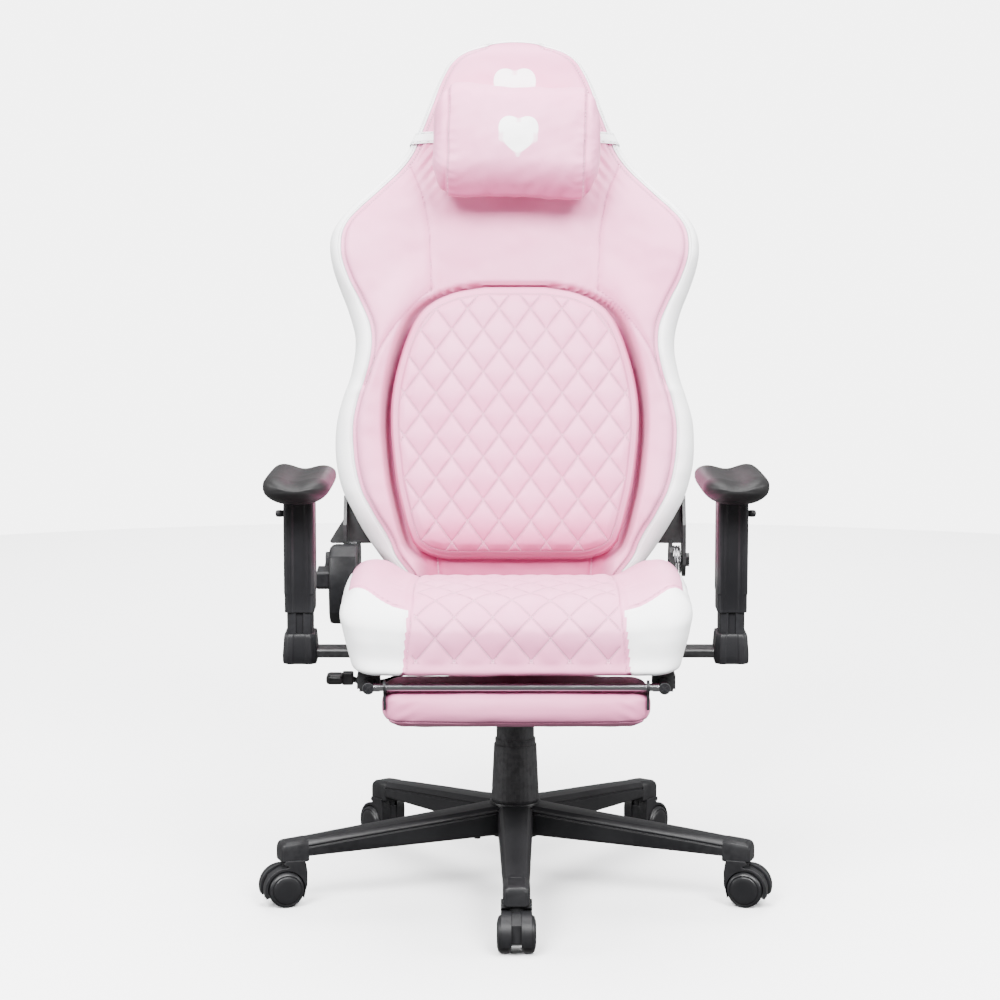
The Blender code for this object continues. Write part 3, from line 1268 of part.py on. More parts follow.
def make_chair():
    finishes = {
        "pink": new_material("pink_leather", (0.82, 0.66, 0.72), 0.45),
        "white": new_material("white_leather", (0.90, 0.91, 0.92), 0.45),
        "plastic": new_material("black_plastic", (0.035, 0.035, 0.037), 0.45),
        "rubber": new_material("black_polyurethane", (0.03, 0.03, 0.032), 0.5),
        "black_steel": new_material("black_steel", (0.02, 0.02, 0.021), 0.35, 0.6),
        "chrome": new_material("bright_steel", (0.75, 0.75, 0.76), 0.15, 1.0),
        "brass": new_material("bush_plastic", (0.80, 0.79, 0.75), 0.5),
    }
    make_base(finishes["plastic"])
    make_casters(finishes["plastic"], finishes["plastic"])
    spindle = joint_empty("seat_swivel", (0, 0, COLUMN_BOTTOM))
    middle = joint_empty("cover_slide", (0, 0, HUB_TOP), spindle)
    lift = joint_empty("height_lift", (0, 0, COLUMN_TOP), spindle)
    seat = joint_empty("seat_rock", (0, TILT_PIN_Y, TILT_PIN_Z), lift)
    make_column(finishes, spindle, middle, lift)
    make_mechanism(finishes, lift, seat)
    make_seat(finishes, seat)
    make_armrests(finishes, seat)
    make_footrest(finishes, seat)
    spot = Matrix.Rotation(-BACK_LEAN, 3, "X") @ Vector((0, PIVOT_DEPTH, PIVOT_HEIGHT))
    pivot = Vector((0, BACK_Y, BACK_Z)) + spot
    recline = joint_empty("recline", pivot, seat)
    frame = joint_empty("back_frame_of_reference", (0, BACK_Y, BACK_Z), recline, (-BACK_LEAN, 0, 0))
    make_recliner(finishes, seat, recline, pivot)
    make_back(finishes, frame)


clear_scene()
PARTS = new_collection("gaming_chair")
CUTTERS = new_collection("cutters")
CUTTERS.hide_render = True
make_chair()
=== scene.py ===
"""The gaming chair's visible surfaces: upholstery, mouldings and metal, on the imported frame."""

import json
import math

import bmesh
import bpy
import numpy as np
from mathutils import Matrix, Vector


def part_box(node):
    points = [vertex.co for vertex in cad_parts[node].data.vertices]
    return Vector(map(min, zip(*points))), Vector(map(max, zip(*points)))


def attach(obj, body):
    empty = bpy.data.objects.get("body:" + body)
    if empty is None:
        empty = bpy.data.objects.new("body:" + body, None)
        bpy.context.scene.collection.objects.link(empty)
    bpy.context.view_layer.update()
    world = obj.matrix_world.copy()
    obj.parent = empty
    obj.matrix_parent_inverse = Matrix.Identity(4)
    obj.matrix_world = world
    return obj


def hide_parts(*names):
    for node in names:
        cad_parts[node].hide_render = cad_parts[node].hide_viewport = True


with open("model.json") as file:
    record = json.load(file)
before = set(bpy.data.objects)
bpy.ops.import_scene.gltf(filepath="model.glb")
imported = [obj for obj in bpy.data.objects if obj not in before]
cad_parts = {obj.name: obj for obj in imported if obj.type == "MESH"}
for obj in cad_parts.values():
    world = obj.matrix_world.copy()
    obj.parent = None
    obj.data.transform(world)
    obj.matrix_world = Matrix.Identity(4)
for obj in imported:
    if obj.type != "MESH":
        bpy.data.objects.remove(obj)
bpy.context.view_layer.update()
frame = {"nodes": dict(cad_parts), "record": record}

LEAN = math.radians(9.5)
SLOTS = {entry["node"]: entry["material_slot"] for entry in frame["record"]["subparts"]}


def smoothstep(t):
    t = np.clip(t, 0, 1)
    return t * t * (3 - 2 * t)


def table(pairs):
    """A smooth function through (position, value) pairs, for numbers and arrays."""
    xs, ys = (np.array(column, float) for column in zip(*pairs))
    slopes = np.gradient(ys, xs)

    def read(value):
        value = np.clip(np.asarray(value, float), xs[0], xs[-1])
        i = np.clip(np.searchsorted(xs, value, side="right") - 1, 0, len(xs) - 2)
        span = xs[i + 1] - xs[i]
        t = (value - xs[i]) / span
        return (
            (2 * t**3 - 3 * t**2 + 1) * ys[i] + (t**3 - 2 * t**2 + t) * span * slopes[i]
            + (3 * t**2 - 2 * t**3) * ys[i + 1] + (t**3 - t**2) * span * slopes[i + 1]
        )

    return read


def ridge(distance, width):
    """A soft rise from 0 to 1 where distance is 0."""
    return np.exp(-(distance / width) ** 2)


def ripple(points, wavelength, seed, count=14):
    """A gentle uneven field from -1 to 1 in space."""
    rng = np.random.default_rng(seed)
    directions = rng.normal(size=(count, 3))
    directions /= np.linalg.norm(directions, axis=1, keepdims=True)
    waves = 2 * math.pi / (wavelength * rng.uniform(0.7, 1.5, count))
    phases = rng.uniform(0, 2 * math.pi, count)
    return np.sin(points @ (directions * waves[:, None]).T + phases).sum(1) / math.sqrt(count) / 1.4


def in_scene(name, data):
    obj = bpy.data.objects.new(name, data)
    bpy.context.scene.collection.objects.link(obj)
    return obj


def placed(piece, body, replaces=()):
    """Puts a piece on the body that it rides on and hides the nodes that it stands for."""
    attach(piece, body)
    if replaces:
        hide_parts(*replaces)


# Meshes


def new_object(name, points, faces, material=None):
    mesh = bpy.data.meshes.new(name)
    mesh.from_pydata([tuple(p) for p in np.asarray(points, float)], [], [tuple(map(int, f)) for f in faces])
    mesh.validate()
    obj = in_scene(name, mesh)
    if material:
        mesh.materials.append(material)
    mesh.shade_smooth()
    return obj


def set_values(obj, name, values):
    attribute = obj.data.attributes.new(name, "FLOAT", "POINT")
    attribute.data.foreach_set("value", np.asarray(values, np.float32))


def set_uv(obj, name, uv):
    layer = obj.data.uv_layers.new(name=name)
    loops = np.empty(len(obj.data.loops), np.int32)
    obj.data.loops.foreach_get("vertex_index", loops)
    layer.data.foreach_set("uv", np.asarray(uv, np.float32)[loops].ravel())


def cube_grid(nx, ny, nz):
    """Points on a cube's surface from -1 to 1, shared at its edges, and its quads facing out."""
    bm = bmesh.new()
    sides = (
        (nx, ny, Matrix.Translation((0, 0, 1))),
        (nx, ny, Matrix.Translation((0, 0, -1)) @ Matrix.Rotation(math.pi, 4, "X")),
        (nx, nz, Matrix.Translation((0, -1, 0)) @ Matrix.Rotation(math.pi / 2, 4, "X")),
        (nx, nz, Matrix.Translation((0, 1, 0)) @ Matrix.Rotation(-math.pi / 2, 4, "X")),
        (nz, ny, Matrix.Translation((1, 0, 0)) @ Matrix.Rotation(math.pi / 2, 4, "Y")),
        (nz, ny, Matrix.Translation((-1, 0, 0)) @ Matrix.Rotation(-math.pi / 2, 4, "Y")),
    )
    for across, up, place in sides:
        bmesh.ops.create_grid(bm, x_segments=across, y_segments=up, size=1, matrix=place)
    bmesh.ops.remove_doubles(bm, verts=bm.verts, dist=1e-5)
    bm.verts.index_update()
    points = np.array([vertex.co[:] for vertex in bm.verts])
    quads = np.array([[vertex.index for vertex in quad.verts] for quad in bm.faces])
    bm.free()
    return np.round(points, 5), quads


def inflate(name, cube, quads, points, held, cap, pressure=4.0):
    """Fills a sewn cover: cloth under pressure, held at its seams, moved up to cap, then refined once."""
    obj = new_object(name, points, quads)
    place = obj.data.attributes.new("cube", "FLOAT_VECTOR", "POINT")
    place.data.foreach_set("vector", cube.astype(np.float32).ravel())
    obj.vertex_groups.new(name="held").add(np.flatnonzero(held).tolist(), 1.0, "REPLACE")
    cloth = obj.modifiers.new("filling", "CLOTH")
    cloth.settings.quality = 4
    cloth.settings.tension_stiffness = cloth.settings.compression_stiffness = 12
    cloth.settings.bending_stiffness = 1.5
    cloth.settings.use_pressure = True
    cloth.settings.uniform_pressure_force = pressure
    cloth.settings.vertex_group_mass = "held"
    cloth.settings.effector_weights.gravity = 0
    cloth.collision_settings.use_collision = False
    cloth.point_cache.frame_start, cloth.point_cache.frame_end = 1, 20
    scene = bpy.context.scene
    for moment in range(1, 21):
        scene.frame_set(moment)
    filled = read_points(obj)
    obj.modifiers.clear()
    scene.frame_set(1)
    move = filled - points
    length = np.linalg.norm(move, axis=1, keepdims=True)
    move *= np.minimum(1, cap * np.tanh(length / cap) / np.maximum(length, 1e-9))
    obj.data.vertices.foreach_set("co", (points + move).astype(np.float32).ravel())
    finer = obj.modifiers.new("finer", "SUBSURF")
    finer.levels = finer.render_levels = 1
    graph = bpy.context.evaluated_depsgraph_get()
    mesh = obj.evaluated_get(graph).to_mesh()
    fine_points = np.array([vertex.co[:] for vertex in mesh.vertices])
    fine_cube = np.array([item.vector[:] for item in mesh.attributes["cube"].data])
    fine_quads = np.array([quad.vertices[:] for quad in mesh.polygons])
    bpy.data.objects.remove(obj)
    return np.round(fine_cube, 5), fine_quads, fine_points


def read_points(obj):
    graph = bpy.context.evaluated_depsgraph_get()
    mesh = obj.evaluated_get(graph).to_mesh()
    points = np.empty(len(mesh.vertices) * 3, np.float32)
    mesh.vertices.foreach_get("co", points)
    return points.reshape(-1, 3).astype(float)


def rounded(cube, half, low, high):
    """Cube points moved to a block with rounded edges: half sizes, and each axis's rounding at both sides."""
    half = np.array(half, float)
    radius = np.where(cube < 0, np.array(low, float), np.array(high, float))
    place = np.abs(cube) * half
    inner = half - radius
    beyond = np.maximum(place - inner, 0) / radius
    length = np.linalg.norm(beyond, axis=1, keepdims=True)
    beyond = beyond / np.maximum(length, 1e-9)
    return np.sign(cube) * (np.minimum(place, inner) + radius * beyond)


def normals_of(points, quads):
    a, b, c, d = (points[quads[:, i]] for i in range(4))
    face = np.cross(c - a, d - b)
    total = np.zeros_like(points)
    for i in range(4):
        np.add.at(total, quads[:, i], face)
    return total / np.maximum(np.linalg.norm(total, axis=1, keepdims=True), 1e-12)


def grid_quads(rows, columns, wrap=False):
    last = columns if wrap else columns - 1
    i, j = np.meshgrid(np.arange(rows - 1), np.arange(last), indexing="ij")
    i, j = i.ravel(), j.ravel()
    following = (j + 1) % columns
    return np.stack([i * columns + j, i * columns + following, (i + 1) * columns + following,
                     (i + 1) * columns + j], 1)


def line_distance(points, line):
    """Distance of 2D or 3D points from a polyline, and the length along it to the nearest place."""
    line = np.asarray(line, float)
    best = np.full(len(points), 1e9)
    along = np.zeros(len(points))
    travelled = 0.0
    for start, end in zip(line[:-1], line[1:]):
        step = end - start
        length = np.linalg.norm(step)
        if length < 1e-9:
            continue
        t = np.clip(((points - start) @ step) / length**2, 0, 1)
        distance = np.linalg.norm(points - start - t[:, None] * step, axis=1)
        closer = distance < best
        best[closer] = distance[closer]
        along[closer] = travelled + t[closer] * length
        travelled += length
    return best, along


def inside(points, outline):
    """Whether 2D points are inside a closed outline."""
    hit = np.zeros(len(points), bool)
    x, y = points[:, 0], points[:, 1]
    for (x0, y0), (x1, y1) in zip(outline, np.roll(outline, -1, axis=0)):
        if y0 == y1:
            continue
        crossing = ((y0 > y) != (y1 > y)) & (x < (x1 - x0) * (y - y0) / (y1 - y0) + x0)
        hit ^= crossing
    return hit


def closed(outline):
    return np.concatenate([outline, outline[:1]])


def lengths_along(line):
    """How far along a line each of its points is."""
    return np.r_[0, np.cumsum(np.linalg.norm(np.diff(line, axis=0), axis=1))]


def smooth_line(points, count=60):
    """A curve of count points through a few points."""
    points = np.array(points, float)
    lengths = lengths_along(points)
    t = np.linspace(0, lengths[-1], count)
    return np.stack([table(list(zip(lengths, points[:, i])))(t) for i in range(points.shape[1])], 1)


class Stitches:
    """Gathers sewn lines on a piece: how far each point is from the nearest one and how far along it lies."""

    def __init__(self, count):
        self.distance = np.full(count, 0.05)
        self.along = np.zeros(count)

    def add(self, distance, along):
        closer = distance < self.distance
        self.distance[closer] = distance[closer]
        self.along[closer] = along[closer]

    def store(self, obj):
        set_values(obj, "stitch_distance", self.distance)
        set_values(obj, "stitch_along", self.along)


def quilt(u, v, width, height):
    """The rise of a diamond-quilted surface, from 0 on a seam to 1 in the middle of a diamond."""
    a, b = u / width + v / height, u / width - v / height
    fa, fb = np.abs(np.sin(math.pi * a)), np.abs(np.sin(math.pi * b))
    return (fa * fb) ** 0.5


def pucker(u, v, width, height, reach):
    """Small gathers beside the seams of a quilted surface."""
    a, b = u / width + v / height, u / width - v / height
    spacing = width * height / math.hypot(width, height)
    rise = np.zeros_like(u)
    for across, along in ((a, b), (b, a)):
        distance = np.abs(across - np.round(across)) * spacing
        rise += (ridge(distance - reach, reach * 0.8)
                 * np.sin(2 * math.pi * along * 4.0 + 3 * np.sin(along * 5)))
    return rise


def outward_from(outline, passes):
    """The direction away from a closed outline at each of its points, evened out over its corners."""
    tangent = np.roll(outline, -1, axis=0) - np.roll(outline, 1, axis=0)
    outward = np.stack([tangent[:, 1], -tangent[:, 0]], 1)
    outward /= np.linalg.norm(outward, axis=1, keepdims=True)
    for _ in range(passes):
        outward = (outward + np.roll(outward, 1, axis=0) + np.roll(outward, -1, axis=0)) / 3
    return outward / np.linalg.norm(outward, axis=1, keepdims=True)


def back_to_world(points):
    """From the leaning frame of the back (across, depth, height) to the chair's."""
    low = BACK_ORIGIN
    out = np.empty_like(points)
    out[:, 0] = points[:, 0]
    out[:, 1] = low[0] + points[:, 1] * math.cos(LEAN) + points[:, 2] * math.sin(LEAN)
    out[:, 2] = low[1] - points[:, 1] * math.sin(LEAN) + points[:, 2] * math.cos(LEAN)
    return out


# Materials


class Nodes:
    """Adds nodes to a tree and links them, in one line each."""

    def __init__(self, tree):
        self.tree = tree

    def add(self, kind, **settings):
        node = self.tree.nodes.new(kind)
        for key, value in settings.items():
            setattr(node, key, value)
        return node

    def link(self, source, target):
        if isinstance(source, bpy.types.NodeSocket):
            self.tree.links.new(source, target)
        else:
            target.default_value = source

    def math(self, operation, a, b=0.0, c=0.0, clamp=False):
        node = self.add("ShaderNodeMath", operation=operation, use_clamp=clamp)
        for source, target in zip((a, b, c), node.inputs):
            self.link(source, target)
        return node.outputs[0]

    def plus(self, a, b):
        return self.math("ADD", a, b)

    def minus(self, a, b):
        return self.math("SUBTRACT", a, b)

    def times(self, a, b):
        return self.math("MULTIPLY", a, b)

    def over(self, a, b):
        return self.math("DIVIDE", a, b)

    def ramp(self, source, low, high, start=0.0, end=1.0):
        """From start to end as source goes from low to high."""
        node = self.add("ShaderNodeMapRange", clamp=True)
        for key, value in (("Value", source), ("From Min", low), ("From Max", high), ("To Min", start),
                           ("To Max", end)):
            self.link(value, node.inputs[key])
        return node.outputs[0]

    def noise(self, vector, scale, detail=3.0, roughness=0.5):
        node = self.add("ShaderNodeTexNoise")
        for key, value in (("Vector", vector), ("Scale", scale), ("Detail", detail),
                           ("Roughness", roughness)):
            self.link(value, node.inputs[key])
        return node.outputs["Fac"]

    def cells(self, vector, scale, feature="DISTANCE_TO_EDGE"):
        node = self.add("ShaderNodeTexVoronoi", feature=feature)
        self.link(vector, node.inputs["Vector"])
        self.link(scale, node.inputs["Scale"])
        return node.outputs["Distance"]

    def mix(self, factor, a, b):
        node = self.add("ShaderNodeMix", data_type="RGBA")
        self.link(factor, node.inputs[0])
        for source, target in ((a, node.inputs[6]), (b, node.inputs[7])):
            self.link((*source, 1) if isinstance(source, tuple) else source, target)
        return node.outputs[2]

    def split(self, vector):
        node = self.add("ShaderNodeSeparateXYZ")
        self.link(vector, node.inputs[0])
        return node.outputs[0], node.outputs[1], node.outputs[2]

    def from_nearest(self, value):
        """How far a value is from the nearest whole number."""
        return self.math("ABSOLUTE", self.minus(self.math("FRACT", self.plus(value, 0.5)), 0.5))


def node_group(name, inputs, outputs, build):
    """A shader node group: inputs are (name, kind, starting value), outputs names, and build links them."""
    tree = bpy.data.node_groups.new(name, "ShaderNodeTree")
    for label, kind, start in inputs:
        socket = tree.interface.new_socket(name=label, in_out="INPUT", socket_type="NodeSocket" + kind)
        if start is not None:
            socket.default_value = start
    for label in outputs:
        tree.interface.new_socket(name=label, in_out="OUTPUT", socket_type="NodeSocketFloat")
    nodes = Nodes(tree)
    source = nodes.add("NodeGroupInput").outputs
    results = build(nodes, *[source[label] for label, _, _ in inputs])
    target = nodes.add("NodeGroupOutput").inputs
    for label, result in zip(outputs, results):
        nodes.link(result, target[label])
    return tree


def hide_grain(n, vector, scale):
    """Embossed pores between small pebbles, and slow changes of shade."""
    pebbles = n.ramp(n.cells(vector, scale), 0.0, 0.12)
    creases = n.noise(vector, n.times(scale, 0.36), 4.0, 0.6)
    shade = n.ramp(n.noise(vector, 8.0), 0.3, 0.7)
    polish = n.ramp(n.noise(vector, 55.0, 4.0), 0.2, 0.8, -0.05, 0.05)
    return n.math("MULTIPLY_ADD", creases, 0.6, pebbles), shade, polish


def sewn_row(n, distance, along, pitch):
    """Thread, needle holes and the pressed line of a row of stitches."""
    dash = n.math("ABSOLUTE", n.minus(n.math("FRACT", n.over(along, pitch)), 0.5))
    thread = n.times(n.ramp(distance, 0.0008, 0.0004), n.ramp(dash, 0.40, 0.34))
    hole = n.times(n.ramp(distance, 0.0012, 0.0004), n.ramp(dash, 0.38, 0.44))
    return thread, hole, n.ramp(distance, 0.0022, 0.0003)


def quilted_rows(n, flat, width, height, inside):
    """The two crossing families of stitched lines of diamond quilting."""
    across, up, _ = n.split(flat)
    across, up = n.over(across, width), n.over(up, height)
    lines = (n.plus(across, up), n.minus(across, up))
    diagonal = n.math("SQRT", n.plus(n.times(width, width), n.times(height, height)))
    spacing = n.over(n.times(width, height), diagonal)
    outside = n.ramp(inside, 0.6, 0.4, 0.0, 0.01)
    results = [0.0, 0.0, 0.0]
    for line, other in (lines, lines[::-1]):
        distance = n.plus(n.times(n.from_nearest(line), spacing), outside)
        row = sewn_row(n, distance, other, 0.1)
        results = [n.math("MAXIMUM", old, new) for old, new in zip(results, row)]
    return results


def heart_print(n, flat, size, facing):
    """A plain heart at the middle of a flat map."""
    x, y, _ = n.split(flat)
    x, y = n.over(x, size), n.over(y, size)
    xx, yy = n.times(x, x), n.times(y, y)
    reach = n.plus(xx, yy)
    lobes = n.math("POWER", n.minus(reach, 1.0), 3.0)
    point = n.times(xx, n.times(yy, y))
    heart = n.ramp(n.minus(lobes, point), 0.03, -0.03)
    near = n.ramp(reach, 3.0, 2.9)
    return (n.times(n.times(heart, near), n.ramp(facing, 0.4, 0.6)),)


def moulded_skin(n, vector, scale):
    """Fine spark-eroded texture, uneven polish and rubbed edges."""
    fine = n.noise(vector, scale, 2.0)
    broad = n.ramp(n.noise(vector, 14.0), 0.3, 0.7)
    edge = n.ramp(n.add("ShaderNodeNewGeometry").outputs["Pointiness"], 0.515, 0.58)
    rubbed = n.times(edge, n.ramp(n.noise(vector, 120.0), 0.35, 0.6))
    return fine, broad, rubbed


def drawn_metal(n, vector, scale, stretch):
    """Fine drawing lines along one direction, and a slow haze."""
    along = n.add("ShaderNodeVectorMath", operation="MULTIPLY")
    n.link(vector, along.inputs[0])
    n.link(stretch, along.inputs[1])
    return n.noise(along.outputs[0], scale), n.ramp(n.noise(vector, 35.0, 4.0), 0.3, 0.7)


GRAIN = node_group("leather_grain", (("Place", "Vector", None), ("Scale", "Float", 1150.0)),
                   ("Height", "Shade", "Polish"), hide_grain)
SEWN = node_group("sewn_row",
                  (("Distance", "Float", 0.05), ("Along", "Float", 0.0), ("Pitch", "Float", 0.0042)),
                  ("Thread", "Hole", "Crease"), sewn_row)
QUILTED = node_group("quilted_rows",
                     (("Flat", "Vector", None), ("Width", "Float", 0.05), ("Height", "Float", 0.06),
                      ("Inside", "Float", 1.0)), ("Thread", "Hole", "Crease"), quilted_rows)
HEART = node_group("heart_print",
                   (("Flat", "Vector", None), ("Size", "Float", 0.02), ("Facing", "Float", 1.0)),
                   ("Mask",), heart_print)
MOULDED = node_group("moulded_skin", (("Place", "Vector", None), ("Scale", "Float", 2200.0)),
                     ("Fine", "Broad", "Rubbed"), moulded_skin)
DRAWN = node_group("drawn_metal",
                   (("Place", "Vector", None), ("Scale", "Float", 300.0),
                    ("Stretch", "Vector", (1, 1, 1))), ("Lines", "Haze"), drawn_metal)


class Material(Nodes):
    """A material: its own Principled shader, with the groups that it uses placed in it."""

    def __init__(self, name, roughness, metallic=0.0, **settings):
        self.data = bpy.data.materials.new(name)
        self.data.use_nodes = True
        super().__init__(self.data.node_tree)
        self.shader = self.tree.nodes["Principled BSDF"]
        for key, value in {"Roughness": roughness, "Metallic": metallic, **settings}.items():
            self.shader.inputs[key.replace("_", " ")].default_value = value
        self.place = self.add("ShaderNodeTexCoord").outputs["Object"]

    def group(self, tree, **inputs):
        node = self.add("ShaderNodeGroup", node_tree=tree)
        for key, value in inputs.items():
            self.link(value, node.inputs[key])
        return tuple(node.outputs)

    def value(self, name):
        return self.add("ShaderNodeAttribute", attribute_name=name).outputs["Fac"]

    def flat(self, name):
        return self.add("ShaderNodeUVMap", uv_map=name).outputs[0]

    def paint(self, colour, roughness, layers):
        """Colour, roughness, and bump layers as (height, metres)."""
        self.link((*colour, 1) if isinstance(colour, tuple) else colour, self.shader.inputs["Base Color"])
        self.link(roughness, self.shader.inputs["Roughness"])
        normal = None
        for height, distance in layers:
            node = self.add("ShaderNodeBump")
            node.inputs["Distance"].default_value = distance
            self.link(height, node.inputs["Height"])
            if normal:
                self.link(normal, node.inputs["Normal"])
            normal = node.outputs[0]
        self.link(normal, self.shader.inputs["Normal"])
        return self.data


PINK, PINK_DEEP, PINK_THREAD, PINK_HOLE = (0.79, 0.305, 0.495), (0.75, 0.255, 0.445), (0.86, 0.47,
        0.62), (0.34, 0.06, 0.16)
WHITE, WHITE_DEEP, WHITE_THREAD, WHITE_HOLE = (0.94, 0.945, 0.95), (0.91, 0.92, 0.93), (0.95, 0.95,
        0.95), (0.50, 0.50, 0.52)
# Dark magenta used as painted shade on the pink leather, in recesses, under parts and where the chair shadows
# itself.
PINK_PAINTED_SHADE = (0.40, 0.030, 0.135)
PINKS, WHITES = (PINK, PINK_DEEP, PINK_THREAD, PINK_HOLE), (WHITE, WHITE_DEEP, WHITE_THREAD, WHITE_HOLE)


def leather(name, colours, quilted=None, white_beyond=False, heart=None):
    """Coated leather with a fine grain and sewn lines, white past a colour seam, and painted shade in its
    seam creases and, on pink, wherever a piece sets a painted shade value.
    """
    m = Material(name, 0.42, Specular_IOR_Level=0.40, Sheen_Weight=0.12, Sheen_Roughness=0.4)
    grain, shade, polish = m.group(GRAIN, Place=m.place)
    base = m.mix(shade, colours[0], colours[1])
    # Painted shade: the pink is mixed towards the dark magenta as far as each point's painted shade value.
    if colours is PINKS:
        base = m.mix(m.value("painted_shade"), base, PINK_PAINTED_SHADE)
    thread_colour, hole_colour, deep = colours[2], colours[3], colours[1]
    if white_beyond:
        beyond = m.ramp(m.value("beyond"), -0.0002, 0.0002)
        base = m.mix(beyond, base, m.mix(shade, WHITE, WHITE_DEEP))
        thread_colour = m.mix(beyond, colours[2], WHITE_THREAD)
        hole_colour = m.mix(beyond, colours[3], WHITE_HOLE)
        deep = m.mix(beyond, deep, WHITE_DEEP)
    if heart:
        mask, = m.group(HEART, Flat=m.flat("flat"), Size=heart, Facing=m.value("front_side"))
        base = m.mix(mask, base, WHITE)
    thread, hole, crease = m.group(SEWN, Distance=m.value("stitch_distance"), Along=m.value("stitch_along"))
    if quilted:
        rows = m.group(QUILTED, Flat=m.flat("quilt"), Width=quilted[0], Height=quilted[1],
                       Inside=m.value("quilted"))
        thread, hole, crease = (m.math("MAXIMUM", a, b) for a, b in zip((thread, hole, crease), rows))
    # Painted shade: the pressed line beside each seam and quilting row is darkened towards the deep and
    # needle-hole colours.
    colour = m.mix(m.times(crease, 0.45), m.mix(m.times(crease, 0.6), base, deep), hole_colour)
    colour = m.mix(m.times(hole, 0.6), colour, hole_colour)
    colour = m.mix(m.times(thread, 0.85), colour, thread_colour)
    roughness = m.plus(m.plus(polish, 0.43), m.times(thread, 0.15))
    return m.paint(colour, roughness,
                   ((grain, 0.00007), (crease, -0.0007), (hole, -0.0005), (thread, 0.0007)))


def plastic(name, colour, roughness, scale=2200.0, depth=0.00005, specular=0.42):
    """Moulded plastic or skinned foam."""
    m = Material(name, roughness, Specular_IOR_Level=specular)
    fine, broad, rubbed = m.group(MOULDED, Place=m.place, Scale=scale)
    lighter, rubbed_colour = tuple(c * 1.35 + 0.001 for c in colour), tuple(c * 2.2 + 0.008 for c in colour)
    shade = m.mix(m.times(rubbed, 0.6), m.mix(broad, colour, lighter), rubbed_colour)
    polish = m.math("MULTIPLY_ADD", broad, 0.08, roughness - 0.05)
    return m.paint(shade, m.math("MULTIPLY_ADD", fine, 0.06, polish), ((fine, depth),))


def metal(name, colour, roughness, metallic=1.0, stretch=(1, 1, 1), scale=300.0, depth=0.00002):
    """Plated or coated steel."""
    m = Material(name, roughness, metallic)
    lines, haze = m.group(DRAWN, Place=m.place, Scale=scale, Stretch=stretch)
    _, _, rubbed = m.group(MOULDED, Place=m.place)
    shade = m.mix(haze, colour, tuple(c * 0.88 for c in colour))
    shade = m.mix(m.times(rubbed, 0.4), shade, tuple(min(1.0, c * 1.5 + 0.02) for c in colour))
    polish = m.math("MULTIPLY_ADD", lines, roughness * 0.5, roughness * 0.75)
    return m.paint(shade, m.math("MULTIPLY_ADD", haze, 0.04, polish), ((lines, depth),))


QUILT_PAD = (0.0457, 0.0618)
QUILT_SEAT = (0.0505, 0.0595)
pink_plain = leather("pink_leather", PINKS)
pink_quilted = leather("pink_leather_quilted", PINKS, QUILT_PAD)
seat_leather = leather("seat_leather", PINKS, QUILT_SEAT, True)
pillow_leather = leather("pillow_leather", PINKS, heart=0.025)
head_leather = leather("back_leather", PINKS, heart=0.027)
white_plain = leather("white_leather", WHITES)
nylon = plastic("black_nylon", (0.0065, 0.0065, 0.0072), 0.36, specular=0.21)
tread = plastic("black_tread", (0.0065, 0.0065, 0.0072), 0.32, 1200.0, specular=0.24)
abs_black = plastic("black_plastic", (0.0066, 0.0066, 0.0075), 0.36, 2600.0, specular=0.21)
polyurethane = plastic("black_polyurethane", (0.0085, 0.0083, 0.0086), 0.44, 3200.0, 0.00004, specular=0.20)
coated = metal("black_powder_coat", (0.0075, 0.0075, 0.0082), 0.36, 0.0, scale=900.0, depth=0.00006)
zinc = metal("zinc_plate", (0.62, 0.62, 0.64), 0.26)
chrome = metal("chrome_plate", (0.36, 0.36, 0.375), 0.12, stretch=(0.02, 1, 1))
bush = plastic("bush_plastic", (0.72, 0.71, 0.67), 0.5)
# Painted light: the column covers get a black about three times lighter than the other plastics, lifting them
# out of the seat's shade.
column_plastic = plastic("column_plastic", (0.021, 0.021, 0.0225), 0.42, 2600.0, specular=0.30)

BY_SLOT = {
    "black_nylon": nylon, "black_tread": tread, "black_plastic": abs_black, "bush_plastic": bush,
    "black_polyurethane": polyurethane, "black_steel": coated, "bright_steel": zinc, "chrome_tube": chrome,
    "pink_leather": pink_plain, "white_leather": white_plain,
}


def finish_cad_nodes():
    """The pieces that stay as they are get their finish, smooth round faces and small broken edges."""
    for name, obj in frame["nodes"].items():
        obj.data.materials.clear()
        obj.data.materials.append(column_plastic if name.startswith("cover_") else BY_SLOT[SLOTS[name]])
        obj.data.shade_smooth()
        obj.data.set_sharp_from_angle(angle=math.radians(35))
        if name in ("tilt_spring", "recline_spring"):
            continue
        bevel = obj.modifiers.new("broken_edges", "BEVEL")
        bevel.width = 0.0006
        bevel.segments = 2
        bevel.limit_method = "ANGLE"
        bevel.angle_limit = math.radians(50)
        bevel.harden_normals = False


# Back

FRAME_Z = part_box("seat_plate")[1].z + 0.0003
BACK_ORIGIN = (0.172, FRAME_Z + 0.0675)

